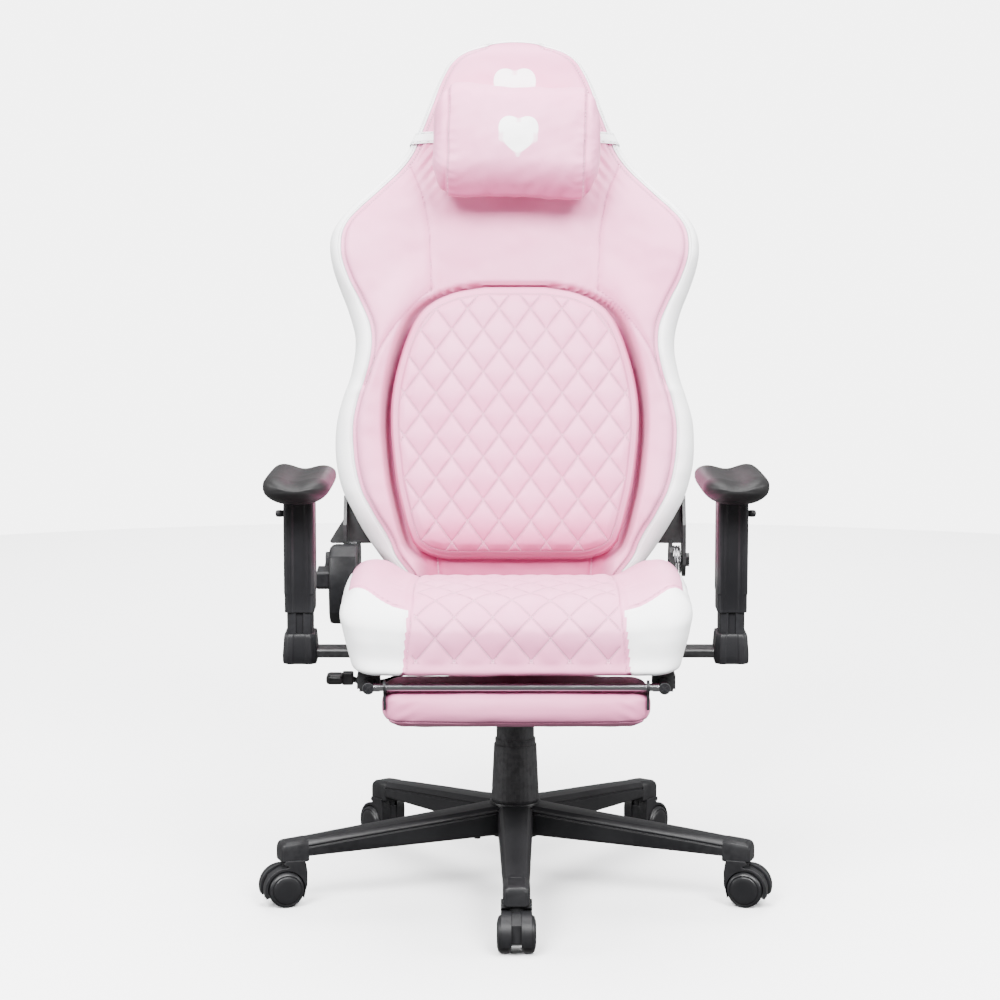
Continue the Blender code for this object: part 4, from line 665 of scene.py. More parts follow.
OUTER = table([(-0.018, 0.166), (0.0, 0.184), (0.045, 0.217), (0.078, 0.236), (0.1055, 0.2493),
               (0.141, 0.2596), (0.176, 0.2626), (0.211, 0.2604), (0.246, 0.2517), (0.281, 0.2401),
               (0.3165, 0.2335), (0.334, 0.2336), (0.369, 0.2424), (0.405, 0.2557), (0.440, 0.2674),
               (0.457, 0.2705), (0.475, 0.2704), (0.493, 0.2653), (0.510, 0.2551), (0.528, 0.239),
               (0.546, 0.2185), (0.563, 0.198), (0.581, 0.1797), (0.599, 0.1643), (0.616, 0.1533),
               (0.634, 0.1438), (0.652, 0.1357), (0.669, 0.1292), (0.687, 0.1226), (0.705, 0.1152),
               (0.7225, 0.1064), (0.740, 0.0955), (0.752, 0.082), (0.762, 0.064), (0.768, 0.046)])
INNER = table([(-0.014, 0.150), (0.0175, 0.1734), (0.035, 0.180), (0.0523, 0.189), (0.0697, 0.2003),
               (0.0872, 0.2101), (0.1046, 0.2193), (0.1395, 0.2295), (0.1744, 0.2339), (0.2093, 0.2339),
               (0.2442, 0.2267), (0.2791, 0.2152), (0.3141, 0.2079), (0.3316, 0.2072), (0.3491, 0.2094),
               (0.3841, 0.2233), (0.4191, 0.2408), (0.4541, 0.2518), (0.4716, 0.2526), (0.4891, 0.2497),
               (0.5067, 0.2405), (0.5242, 0.2242), (0.5417, 0.2053), (0.5593, 0.1870), (0.5768, 0.1690),
               (0.5943, 0.1545), (0.6119, 0.1442), (0.634, 0.1360), (0.652, 0.1290), (0.6821, 0.1173),
               (0.705, 0.109), (0.7225, 0.1005), (0.740, 0.089), (0.750, 0.077), (0.758, 0.060),
               (0.7625, 0.044)])
LUMBAR = table([(0.0087, 0.085), (0.0105, 0.104), (0.0145, 0.122), (0.0203, 0.135), (0.030, 0.1465),
                (0.045, 0.1535), (0.0782, 0.1625), (0.11, 0.170), (0.16, 0.177), (0.20, 0.1803),
                (0.23, 0.1803), (0.27, 0.1755), (0.31, 0.1655), (0.34, 0.155), (0.365, 0.142),
                (0.382, 0.126), (0.394, 0.105), (0.4025, 0.078), (0.4078, 0.045)])


PANEL_BOTTOM, PANEL_TOP = -0.014, 0.7625
PANEL_RISE = 0.7765
BAND_BOTTOM, BAND_RISE = -0.018, 0.786
WELL_DEPTH = 0.0185
EMBLEM_HEIGHT = 0.694


def outline_of(half_width, low, high, count=90):
    """A closed outline, up the left and down the right, from its half widths."""
    steps = low + (high - low) * (1 - np.cos(np.linspace(0, math.pi, count))) / 2
    widths = half_width(steps)
    left = np.stack([-widths, steps], 1)
    return np.concatenate([left, left[::-1] * (-1, 1)])


LUMBAR_OUTLINE = outline_of(LUMBAR, 0.0087, 0.4078)
PANEL_SEAM = smooth_line([(0.1530, 0.586), (0.1345, 0.540), (0.1255, 0.492), (0.1225, 0.440),
                          (0.1215, 0.402)], 30)
ARC_SEAM = smooth_line([(0.1215, 0.404), (0.137, 0.391), (0.155, 0.372), (0.173, 0.350), (0.188, 0.328),
                        (0.199, 0.308), (0.210, 0.284), (0.218, 0.262)], 40)
LOW_SEAM = np.array([(0.111, -0.014), (0.113, 0.012), (0.116, 0.030)])


def back_depth(x, h):
    """How far the back's front face lies behind its reference plane."""
    xa = np.abs(x)
    edge = INNER(h)
    up = smoothstep((h + 0.01) / 0.12) * smoothstep((0.60 - h) / 0.15)
    depth = -0.030 * up * smoothstep((xa / edge - 0.38) / 0.52)
    head = smoothstep((h - 0.56) / 0.08)
    depth -= 0.010 * head * (1 - (xa / edge) ** 2)
    flat = np.stack([x, h], 1)
    away, _ = line_distance(flat, closed(LUMBAR_OUTLINE))
    away = np.where(inside(flat, LUMBAR_OUTLINE), -away, away)
    depth -= 0.010 * ridge(away - 0.034, 0.022) * smoothstep((xa - 0.09) / 0.08)
    reach = 0.0165 - 0.0085 * smoothstep((h - 0.355) / 0.045)
    well = smoothstep((reach - away) / (reach - 0.003))
    depth = depth * (1 - well) + WELL_DEPTH * well
    foot = smoothstep((0.034 - h) / 0.022) * smoothstep((0.150 - xa) / 0.030)
    depth += (WELL_DEPTH - depth) * foot
    to_edge = edge - xa
    depth += 0.0075 * smoothstep(1 - to_edge / 0.017) ** 2
    top = smoothstep((h - 0.742) / 0.022)
    return depth + 0.007 * top**2


def make_back_front():
    rows, columns = 230, 170
    span = np.linspace(0, 1, rows)
    ease = span + 0.09 * np.sin(2 * math.pi * span) * -0.5
    heights = PANEL_BOTTOM + PANEL_RISE * ease
    across = np.sin(np.linspace(-1, 1, columns) * math.pi / 2 * 0.72) / math.sin(math.pi / 2 * 0.72)
    h, u = np.meshgrid(heights, across, indexing="ij")
    h, u = h.ravel(), u.ravel()
    x = u * INNER(h)
    h = h + 0.004 * (1 - u**2) * smoothstep((h - 0.70) / 0.06)
    depth = back_depth(x, np.clip(h, PANEL_BOTTOM, PANEL_TOP))
    flat = np.stack([np.abs(x), h], 1)
    stitches = Stitches(len(x))
    for line in (PANEL_SEAM, ARC_SEAM, LOW_SEAM):
        distance, along = line_distance(flat, line)
        depth += 0.0026 * ridge(distance, 0.0030) - 0.0009 * ridge(distance - 0.009, 0.006)
        stitches.add(distance, along)
    edge_h = np.linspace(PANEL_BOTTOM, PANEL_TOP, 150)
    edge = np.stack([INNER(edge_h), edge_h], 1)
    distance, along = line_distance(flat, edge)
    stitches.add(np.abs(distance - 0.0052), along)
    depth += 0.0012 * ridge(distance - 0.0052, 0.0022)
    points = np.stack([x, depth, h], 1)
    points[:, 1] += 0.0007 * ripple(points, 0.075, 3) + 0.0005 * ripple(points, 0.028, 4)
    pull = ridge(h - 0.60, 0.045) * ridge(np.abs(x) - 0.105, 0.05)
    points[:, 1] += 0.0012 * pull * np.sin((h * 0.8 + np.abs(x)) * 2 * math.pi / 0.017)
    world = back_to_world(points)
    obj = new_object("back_front_panel", world, grid_quads(rows, columns), head_leather)
    set_uv(obj, "flat", points[:, [0, 2]] - (0.0, EMBLEM_HEIGHT))
    set_values(obj, "front_side", np.ones(len(points)))
    # Painted shade: the panel is darkened in the gap round the lumbar pad (less near its top), at its foot
    # above the seat, and in a band of shadow under the pillow.
    rim, _ = line_distance(np.stack([x, h], 1), closed(LUMBAR_OUTLINE))
    groove = (1 - smoothstep((rim - 0.002) / 0.013)) * (1 - 0.75 * smoothstep((h - 0.33) / 0.05))
    foot = smoothstep((0.040 - h) / 0.030) * smoothstep((0.150 - np.abs(x)) / 0.030)
    under = ridge(h - 0.522, 0.020) * smoothstep((0.115 - np.abs(x)) / 0.03)
    set_values(obj, "painted_shade", np.clip(0.55 * groove + 0.85 * foot + 0.30 * under, 0, 0.9))
    stitches.store(obj)
    return obj, points.reshape(rows, columns, 3)


def back_loop(face):
    """The front panel's edge, from the bottom right up, over the top and down, then along the bottom."""
    right, top, left, bottom = face[:, -1], face[-1, ::-1][1:-1], face[::-1, 0], face[0][1:-1]
    return np.concatenate([right, top, left, bottom])


def outer_loop(loop):
    """The widest line of the back beside each point of the panel's edge."""
    out = loop.copy()
    h = loop[:, 2]
    share = (h - PANEL_BOTTOM) / PANEL_RISE
    side = np.abs(loop[:, 0]) >= INNER(np.clip(h, PANEL_BOTTOM, PANEL_TOP)) - 1e-4
    target = BAND_BOTTOM + BAND_RISE * share
    out[side, 0] = np.sign(loop[side, 0]) * OUTER(target[side])
    out[side, 2] = target[side]
    high = ~side & (h > 0.4)
    low = ~side & (h <= 0.4)
    out[high, 0] = loop[high, 0] * 0.046 / 0.044
    out[high, 2] = loop[high, 2] + 0.0058
    out[low, 0] = loop[low, 0] * 0.166 / 0.150
    out[low, 2] = BAND_BOTTOM
    return out


def make_back_sides(face):
    """The white band that rolls from the front panel's edge round to the rear shell."""
    inner = back_loop(face)
    outer = outer_loop(inner)
    rows = []
    steps = 12
    for step in range(steps + 1):
        k = step / steps * math.pi / 2
        row = inner + (outer - inner) * math.sin(k)
        row[:, 1] = inner[:, 1] + (0.017 - inner[:, 1]) * (1 - math.cos(k))
        if step == 0:
            row[:, 1] += 0.0030
        rows.append(row)
    middle = outer * (0.995, 1, 1)
    for depth in (0.024, 0.031, 0.037, 0.0425, 0.0452):
        row = middle.copy() if depth > 0.04 else outer.copy()
        row[:, 1] = depth
        if depth > 0.045:
            row[:, 0] *= 0.990
        rows.append(row)
    count = len(inner)
    points = np.concatenate(rows)
    seam_rows = np.repeat(np.arange(len(rows)), count)
    rough = back_to_world(points)
    bulge = 0.0006 * ripple(points, 0.06, 8)
    rough[:, 0] += np.sign(points[:, 0]) * bulge * (seam_rows > 3)
    obj = new_object("back_side_band", rough, grid_quads(len(rows), count, True)[:, ::-1], white_plain)
    lengths = lengths_along(inner)
    near = np.abs(np.linalg.norm(points - np.tile(inner, (len(rows), 1)), axis=1) - 0.0045)
    stitches = Stitches(len(points))
    stitches.add(near, np.tile(lengths, len(rows)))
    stitches.store(obj)
    return obj, rows[-1]


def make_back_shell(rim):
    """The upholstered rear shell, with a raised border and a flatter middle panel."""
    count = len(rim)
    centre_h = 0.36
    rows = [rim.copy()]
    first = rim.copy()
    first[:, 1] = 0.0466
    rows.append(first)
    profile = [(0.0, 0.0500), (0.001, 0.0540), (0.004, 0.0600), (0.0085, 0.0655), (0.015, 0.0696),
               (0.023, 0.0716), (0.033, 0.0722), (0.043, 0.0715), (0.050, 0.0702), (0.0535, 0.0686),
               (0.0565, 0.0702), (0.063, 0.0712)]
    flat = rim[:, [0, 2]]
    inward = -outward_from(flat, 40)
    for inset, depth in profile:
        row = rim.copy()
        row[:, [0, 2]] = flat + inward * inset
        row[:, 1] = depth
        rows.append(row)
    last = rows[-1]
    for share in np.linspace(0.06, 1, 16)[1:]:
        row = last.copy()
        pulled = np.stack([last[:, 0] * (1 - share),
                           last[:, 2] + (centre_h + (last[:, 2] - centre_h) * 0.55 - last[:, 2]) * share], 1)
        row[:, [0, 2]] = pulled
        row[:, 1] = 0.0712
        rows.append(row)
    points = np.concatenate(rows)
    points[:, 1] += 0.0005 * ripple(points, 0.09, 11) * np.repeat(np.arange(len(rows)) > 6, count)
    obj = new_object("back_rear_shell", back_to_world(points), grid_quads(len(rows), count, True)[:, ::-1],
                     white_plain)
    ring = [i for i, (inset, _) in enumerate(profile) if inset == 0.0535][0] + 2
    distance = np.linalg.norm(points - np.tile(rows[ring], (len(rows), 1)), axis=1)
    lengths = lengths_along(rows[ring])
    stitches = Stitches(len(points))
    stitches.add(np.abs(distance - 0.005), np.tile(lengths, len(rows)))
    stitches.store(obj)
    return obj


def make_lumbar():
    """The quilted pad that gives at the small of the back."""
    rows, columns = 200, 176
    low, high = 0.0100, 0.4078
    span = (1 - np.cos(np.linspace(0, math.pi, rows))) / 2 * 0.5 + np.linspace(0, 1, rows) * 0.5
    h, u = np.meshgrid(low + (high - low) * span, np.linspace(-1, 1, columns), indexing="ij")
    h, u = h.ravel(), u.ravel()
    shrink = 0.972
    x = u * (LUMBAR(h) * shrink)
    middle = (low + high) / 2
    h = middle + (h - middle) * 0.975
    flat = np.stack([x, h], 1)
    rim_line = outline_of(lambda s: LUMBAR(s) * shrink, low, high)
    rim_line[:, 1] = middle + (rim_line[:, 1] - middle) * 0.975
    away, along = line_distance(flat, closed(rim_line))
    crown = table([(0.0087, 0.004), (0.016, -0.0085), (0.028, -0.0190), (0.045, -0.0275), (0.08, -0.0365),
                   (0.12, -0.0405), (0.18, -0.0410), (0.25, -0.0375), (0.31, -0.0320), (0.36, -0.0240),
                   (0.4078, -0.0140)])
    depth = crown(h) + 0.010 * (x / 0.18) ** 2
    border = smoothstep((away - 0.006) / 0.012)
    depth += 0.0070 * (1 - smoothstep(away / 0.012)) ** 2
    v = h - 0.158
    puffed = quilt(x, v, *QUILT_PAD)
    depth -= border * (0.0062 * puffed - 0.001) + border * 0.00035 * pucker(x, v, *QUILT_PAD, 0.0035)
    depth += 0.0012 * ridge(away - 0.0065, 0.0020)
    points = np.stack([x, depth, h], 1)
    points[:, 1] += 0.0006 * ripple(points, 0.05, 21)
    stitches = Stitches(len(x))
    stitches.add(np.abs(away - 0.0065), along)
    face = points.reshape(rows, columns, 3)
    loop = back_loop(face)
    flat_loop = loop[:, [0, 2]]
    outward = outward_from(flat_loop, 25)
    rings = []
    turn_in = ((0.0022, 0.0016), (0.0040, 0.0048), (0.0047, 0.0090), (0.0047, 0.0150), (0.0040, 0.0210),
               (0.0020, 0.0265), (-0.004, 0.0290), (-0.03, 0.0295))
    for push, back in turn_in:
        ring = loop.copy()
        ring[:, [0, 2]] += outward * push
        deepest = 0.0125 if back < 0.029 else 0.0130
        ring[:, 1] = np.minimum(loop[:, 1] + min(back, 0.029), deepest)
        rings.append(ring)
    start = len(points)
    numbered = np.arange(rows * columns).astype(float).reshape(rows, columns, 1).repeat(3, 2)
    loop_index = back_loop(numbered)[:, 0].astype(int)
    extra = np.concatenate(rings)
    count = len(loop)
    quads = [grid_quads(rows, columns)]
    j = np.arange(count)
    first = np.stack([loop_index[j], loop_index[(j + 1) % count], start + (j + 1) % count, start + j], 1)
    quads.append(first[:, ::-1])
    quads.append(grid_quads(len(rings), count, True)[:, ::-1] + start)
    everything = np.concatenate([points, extra])
    obj = new_object("lumbar_cushion", back_to_world(everything), np.concatenate(quads), pink_quilted)
    fill = Stitches(len(everything))
    fill.distance[:start], fill.along[:start] = stitches.distance, stitches.along
    fill.store(obj)
    set_values(obj, "quilted", np.r_[(away > 0.0068).astype(float), np.zeros(len(extra))])
    # Painted shade: the pad is darkened towards its bottom, where it curves under, and on its turned-in
    # sides, less so near the top.
    tall = everything[:, 2]
    low_shade = 0.62 * smoothstep((0.100 - tall) / 0.095) ** 1.5
    side_shade = (np.r_[np.zeros(start), np.full(len(extra), 0.55)]
                  * (1 - 0.7 * smoothstep((tall - 0.33) / 0.05)))
    set_values(obj, "painted_shade", np.clip(low_shade + side_shade, 0, 0.9))
    set_uv(obj, "quilt", np.c_[everything[:, 0], everything[:, 2] - 0.158])
    return obj


def make_pillow():
    """The headrest pillow: a stuffed roll with sewn-in ends, a little askew on its strap."""
    cube, quads = cube_grid(56, 22, 36)
    half = np.array([0.1205, 0.0395, 0.0805])
    points = rounded(cube, half, (0.034, 0.034, 0.046), (0.034, 0.034, 0.046))
    seam_x = 0.1025
    column = np.abs(cube[:, 0])
    held = np.abs(column - column[np.argmin(np.abs(np.abs(points[:, 0]) - seam_x))]) < 1e-4
    cube, quads, points = inflate("pillow_filling", cube, quads, points, held, 0.006)
    x, d, h = points.T.copy()
    end = smoothstep((np.abs(x) - seam_x) / 0.020)
    h *= 1 - 0.16 * end * np.abs(x / 0.118) - 0.035 * (1 - smoothstep((np.abs(x)) / 0.09))
    front = smoothstep(-d / 0.03)
    d = d * (1 + 0.06 * (1 - (h / 0.078) ** 2)) - 0.004 * front * (1 - (x / 0.118) ** 2)
    d += 0.012 * front * smoothstep((-h - 0.030) / 0.050)
    points = np.stack([x, d, h], 1)
    normal = normals_of(points, quads)
    stitches = Stitches(len(points))
    around = np.arctan2(points[:, 2], points[:, 1]) * 0.055
    distance = np.abs(np.abs(x) - seam_x)
    groove = ridge(distance, 0.0032)
    gathers = ridge(distance - 0.008, 0.009) * np.sin(around * 2 * math.pi / 0.013 + 2 * np.sin(around * 60))
    inward = np.where(np.abs(x) < seam_x, 1.0, 0.5)
    points += normal * (-0.0032 * groove + 0.00035 * gathers * inward)[:, None]
    stitches.add(np.abs(np.abs(x) - seam_x + 0.0045), around)
    points += normal * (0.0012 * ripple(points, 0.055, 31) + 0.0005 * ripple(points, 0.022, 32))[:, None]
    points[:, 2] += 0.004 * ridge(x + 0.085, 0.03) * smoothstep(points[:, 2] / 0.06)
    tilt = math.radians(1.6)
    flat = points[:, [0, 2]].copy()
    turned = points.copy()
    turned[:, 0] = points[:, 0] * math.cos(tilt) + points[:, 2] * math.sin(tilt)
    turned[:, 2] = -points[:, 0] * math.sin(tilt) + points[:, 2] * math.cos(tilt)
    turned += (0.0025, -0.0525, 0.6125)
    obj = new_object("headrest_pillow_cover", back_to_world(turned), quads, pillow_leather)
    set_uv(obj, "flat", flat - (0.002, 0.0))
    set_values(obj, "front_side", (cube[:, 1] < 0.2).astype(float))
    # Painted shade: the pillow is darkened towards its bottom, where it turns under.
    set_values(obj, "painted_shade", 0.62 * smoothstep((-flat[:, 1] - 0.030) / 0.048) ** 1.3)
    stitches.store(obj)
    return obj


def make_strap():
    """The elastic strap that holds the pillow, round the head of the back."""
    rows, columns = 9, 160
    angle = np.linspace(0, 2 * math.pi, columns, endpoint=False)
    c, s = np.cos(angle), np.sin(angle)
    centre_h = 0.6270
    power = 0.42
    across = np.sign(c) * np.abs(c) ** power
    depth = np.sign(s) * np.abs(s) ** power
    grids = []
    for layer in (0.0, 0.0014):
        for height in np.linspace(-0.0085, 0.0085, rows):
            half = OUTER(centre_h + height) + 0.0016 + layer
            x = across * half
            d = 0.0335 + depth * (0.0405 + layer)
            grids.append(np.stack([x, d, np.full_like(x, centre_h + height)], 1))
    points = np.concatenate(grids)
    quads = [grid_quads(rows, columns, True)[:, ::-1], grid_quads(rows, columns, True) + rows * columns]
    j = np.arange(columns)
    k = (j + 1) % columns
    shift = rows * columns
    for row, flip in ((0, False), (rows - 1, True)):
        strip = np.stack([row * columns + j, row * columns + k, shift + row * columns + k,
                          shift + row * columns + j], 1)
        quads.append(strip[:, ::-1] if flip else strip)
    obj = new_object("headrest_elastic", back_to_world(points), np.concatenate(quads), white_plain)
    lines = Stitches(len(points))
    height = points[:, 2] - centre_h
    along = np.arctan2(points[:, 1], points[:, 0]) * 0.15
    lines.add(np.abs(np.abs(height) - 0.0062), along)
    lines.store(obj)
    return obj


finish_cad_nodes()
front_panel, face = make_back_front()
side_band, rim = make_back_sides(face)
placed(front_panel, "back", ["back_cushion"])
placed(side_band, "back")
placed(make_back_shell(rim), "back", ["back_cover"])
placed(make_lumbar(), "lumbar", ["lumbar_pad"])
placed(make_pillow(), "back", ["headrest_pillow"])
placed(make_strap(), "back", ["headrest_strap"])


# Seat


def make_seat():
    """The seat cushion: a quilted middle that rolls over the front, between two side bolsters."""
    cube, quads = cube_grid(156, 120, 30)
    base = FRAME_Z + 0.0015
    y_front, y_rear = -0.275, 0.160
    half = np.array([0.2365, (y_rear - y_front) / 2, 0.045])
    points = rounded(cube, half, (0.040, 0.044, 0.012), (0.040, 0.020, 0.034))
    x, y, z = points.T.copy()
    y += (y_front + y_rear) / 2
    t = (z + 0.045) / 0.09
    narrow = smoothstep((y + 0.075) / 0.085)
    x *= 1 - narrow * (1 - 0.223 / 0.2365)
    low_width = table([(0, 0.905), (0.25, 0.945), (0.5, 0.975), (0.75, 0.995), (1, 1.0)])
    x *= low_width(t)
    centre_top = table([(-0.275, 0.076), (-0.25, 0.0865), (-0.22, 0.0925), (-0.18, 0.0950),
                        (-0.10, 0.0935), (0.0, 0.0785), (0.10, 0.0618), (0.16, 0.0520)])
    crest = table([(-0.275, 0.084), (-0.24, 0.1005), (-0.20, 0.1095), (-0.15, 0.1145), (-0.10, 0.1150),
                   (-0.05, 0.1110), (0.0, 0.1030), (0.05, 0.0935), (0.10, 0.0835), (0.16, 0.072)])
    seam = seat_seam(y, t)
    xa = np.abs(x)
    outer = np.maximum(0.2365 * (1 - narrow * 0.057), 0.2)
    across = (xa - seam) / (outer - seam)
    lobe = smoothstep(across / 0.62) * (1 - 0.34 * smoothstep((across - 0.70) / 0.34))
    height = centre_top(y) + (crest(y) - centre_top(y)) * lobe
    z = base + t * height
    front_lobe = smoothstep(across / 0.35)
    is_front = smoothstep((-0.20 - y) / 0.05)
    z -= 0.0125 * smoothstep((-0.19 - y) / 0.05) * smoothstep((0.55 - t) / 0.5)
    y -= 0.009 * is_front * smoothstep((0.30 - t) / 0.28)
    y -= 0.0035 * is_front * (1 - np.abs(2 * t - 0.9)) * (0.4 + 0.6 * front_lobe)
    y += 0.004 * is_front * smoothstep((0.12 - t) / 0.12)
    points = np.stack([x, y, z], 1)
    normal = normals_of(points, quads)
    top = cube[:, 2] > 0.999
    front = cube[:, 1] < -0.999
    side = np.abs(cube[:, 0]) > 0.999
    # Length over the front and along the top, for the quilting.
    travel = np.where(front, (1 + cube[:, 2]) / 2, 1 + (1 + cube[:, 1]) / 2)
    middle = np.flatnonzero((np.abs(cube[:, 0]) < 0.001) & (top | front))
    middle = middle[np.argsort(travel[middle])]
    run = np.interp(travel, travel[middle], lengths_along(points[middle]))
    away = seam - xa
    quilted = smoothstep((away - 0.004) / 0.010) * (top | front) * smoothstep((z - base - 0.004) / 0.01)
    u, v = x - 0.0195, run - 0.0305
    rise = quilted * (0.0042 * quilt(u, v, *QUILT_SEAT) + 0.0003 * pucker(u, v, *QUILT_SEAT, 0.0035) - 0.0016)
    groove = ridge(xa - seam, 0.0030) * (top | front)
    rise -= 0.0032 * groove
    from_front = (1 + cube[:, 1]) * half[1]
    offset = 0.011 + 0.071 * np.clip(across, 0, 1.1) ** 2
    beyond_top = -np.minimum(from_front - offset, (1 - np.abs(cube[:, 0])) * half[0])
    down = (1 - cube[:, 2]) * 0.045
    beyond = np.where(top, beyond_top,
                      np.where(front, down + offset, down + np.maximum(offset - from_front, 0)))
    bottom = cube[:, 2] < -0.999
    edge_line = np.where((xa > seam + 0.001) & ~bottom, np.abs(beyond), 0.05)
    rise -= 0.0020 * ridge(edge_line, 0.0028)
    rise += 0.0008 * ripple(points, 0.07, 41) * ~bottom + 0.0004 * ripple(points, 0.03, 42) * ~bottom
    crease = ridge(xa - seam - 0.012, 0.012) * top * smoothstep((y + 0.24) / 0.03)
    rise += 0.0009 * crease * np.sin(y * 2 * math.pi / 0.019 + 2 * np.sin(y * 40))
    points += normal * rise[:, None]
    well = (smoothstep((0.214 - xa) / 0.004) * smoothstep((0.139 - y) / 0.004)
            * smoothstep((y + 0.250) / 0.004))
    points[:, 2] = np.where(bottom, points[:, 2] + 0.0235 * well, points[:, 2])
    obj = new_object("seat_cushion_cover", points, quads, seat_leather)
    border = np.where(away > 0, -np.minimum(away, 0.02), np.minimum(-away, 0.02))
    white = np.where(top | front | side, np.where(xa < seam, -0.02, np.minimum(beyond, 0.02)), -0.02)
    meets = np.minimum(white, border)
    set_values(obj, "beyond", np.where(bottom, -0.02, meets))
    set_values(obj, "quilted", (quilted > 0.35).astype(float))
    # Painted shade: the cover is darkened towards the bottom of its sides and front, towards the rear under
    # the back, and on its underside.
    rear = smoothstep((points[:, 1] - 0.085) / 0.05)
    set_values(obj, "painted_shade",
               np.clip(0.24 * smoothstep((0.85 - t) / 0.7) + 0.25 * rear + bottom * 0.3, 0, 0.7))
    set_uv(obj, "quilt", np.c_[u, v])
    stitches = Stitches(len(points))
    lined = top | front
    stitches.add(np.where(lined, np.abs(away - 0.0038), 0.05), run)
    stitches.add(np.where((xa > seam + 0.006) & (top | front | side), np.abs(np.abs(beyond + 0.0045)),
                          0.05), y + x)
    stitches.store(obj)
    return obj


def seat_seam(y, t):
    """Half width of the seat's middle panel: a little wider down the front."""
    return (0.1345 + 0.0065 * smoothstep((-0.02 - y) / 0.2) + 0.0085 * smoothstep((-0.235 - y) / 0.03)
            * (1 - t))


placed(make_seat(), "seat", ["seat_cushion"])


def make_footrest_pad():
    low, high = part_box("footrest_pad")
    cube, quads = cube_grid(60, 28, 11)
    half = (high - low) / 2
    half = Vector((half.x + 0.0065, half.y - 0.002, half.z + 0.0005))
    points = rounded(cube, np.array(half), (0.024, 0.020, 0.022), (0.024, 0.020, 0.012))
    held = (cube[:, 2] > 0.999) & (np.abs(cube[:, 0]) < 0.8) & (np.abs(cube[:, 1]) < 0.6)
    held |= np.abs(cube[:, 2] + 0.818) < 0.01
    cube, quads, points = inflate("footrest_filling", cube, quads, points, held, 0.004)
    x, y, z = points.T.copy()
    lowest = -half.z
    share = (z - lowest) / (2 * half.z)
    x *= 1 - 0.018 * (1 - smoothstep(share / 0.45))
    middle = 1 - (x / half.x) ** 2
    z += 0.0015 * middle * (share > 0.5) - 0.001 * middle * (share < 0.5)
    y -= 0.0025 * middle * (cube[:, 1] < -0.9) * np.sin(np.clip(share, 0, 1) * math.pi)
    points = np.stack([x, y, z], 1)
    normal = normals_of(points, quads)
    line = np.abs(cube[:, 2] + 0.818)
    sides = (np.abs(cube[:, 0]) > 0.999) | (np.abs(cube[:, 1]) > 0.999)
    distance = np.where(sides, line * half.z, 0.05)
    around = np.where(np.abs(cube[:, 1]) > 0.999, x, y)
    rise = -0.0014 * ridge(distance, 0.0022)
    ends = ridge(np.abs(x) - 0.150, 0.020) * (cube[:, 1] < -0.5)
    rise += 0.0004 * ends * np.sin((z + 0.5 * np.abs(x)) * 2 * math.pi / 0.016)
    rise += 0.0005 * ripple(points, 0.07, 51) + 0.0002 * ripple(points, 0.02, 52)
    points += normal * rise[:, None]
    points += np.array((low + high) / 2) - (0, 0, 0.0030)
    obj = new_object("footrest_cushion", points, quads, pink_plain)
    # Painted shadow: the whole pad is darkened evenly, for the shadow of the seat above it.
    set_values(obj, "painted_shade", np.full(len(points), 0.30))
    stitches = Stitches(len(points))
    stitches.add(distance, around)
    stitches.store(obj)
    return obj


placed(make_footrest_pad(), "footrest_flap", ["footrest_pad"])


# Mouldings and metal


def finished(name, bm, body, slot, replaces=(), bevel=0.0, angle=40, segments=2):
    """A modelled piece put in the scene, with its body, its finish and the nodes that it stands for."""
    bmesh.ops.remove_doubles(bm, verts=bm.verts, dist=1e-6)
    bmesh.ops.recalc_face_normals(bm, faces=bm.faces)
    mesh = bpy.data.meshes.new(name)
    bm.to_mesh(mesh)
    bm.free()
    obj = in_scene(name, mesh)
    mesh.materials.append(BY_SLOT[slot])
    mesh.shade_smooth()
    mesh.set_sharp_from_angle(angle=math.radians(angle))
    if bevel:
        edge = obj.modifiers.new("rounded_edges", "BEVEL")
        edge.width = bevel
        edge.segments = segments
        edge.limit_method = "ANGLE"
        edge.angle_limit = math.radians(angle - 10)
        edge.harden_normals = True
    placed(obj, body, replaces)


def block(bm, low, high):
    low, high = Vector(low), Vector(high)
    place = Matrix.Translation((low + high) / 2) @ Matrix.Diagonal((*(high - low), 1))
    return bmesh.ops.create_cube(bm, size=1, matrix=place)["verts"]


def rod(bm, start, end, radius, segments=32):
    start, end = Vector(start), Vector(end)
    turn = (end - start).to_track_quat("Z", "Y").to_matrix().to_4x4()
    return bmesh.ops.create_cone(
        bm, cap_ends=True, segments=segments, radius1=radius, radius2=radius,
        depth=(end - start).length, matrix=Matrix.Translation((start + end) / 2) @ turn)["verts"]


def prism(bm, outline, travel):
    """A flat outline extruded along travel."""
    verts = [bm.verts.new(point) for point in outline]
    base = [bm.faces.new(verts)]
    far = bmesh.ops.extrude_face_region(bm, geom=base)["geom"]
    moved = [item for item in far if isinstance(item, bmesh.types.BMVert)]
    bmesh.ops.translate(bm, verts=moved, vec=travel)
    return verts + moved


def turned(bm, profile, centre, axis="Z", steps=48):
    """A profile of (radius, height) spun round an axis through centre."""
    side, up = {"Z": ((1, 0, 0), (0, 0, 1)), "X": ((0, 0, 1), (1, 0, 0))}[axis]
    side, up, centre = Vector(side), Vector(up), Vector(centre)
    verts = [bm.verts.new(centre + side * radius + up * height) for radius, height in profile]
    edges = [bm.edges.new(pair) for pair in zip(verts, verts[1:])]
    bmesh.ops.spin(bm, geom=verts + edges, cent=centre, axis=up, angle=2 * math.pi, steps=steps,
                   use_merge=True)


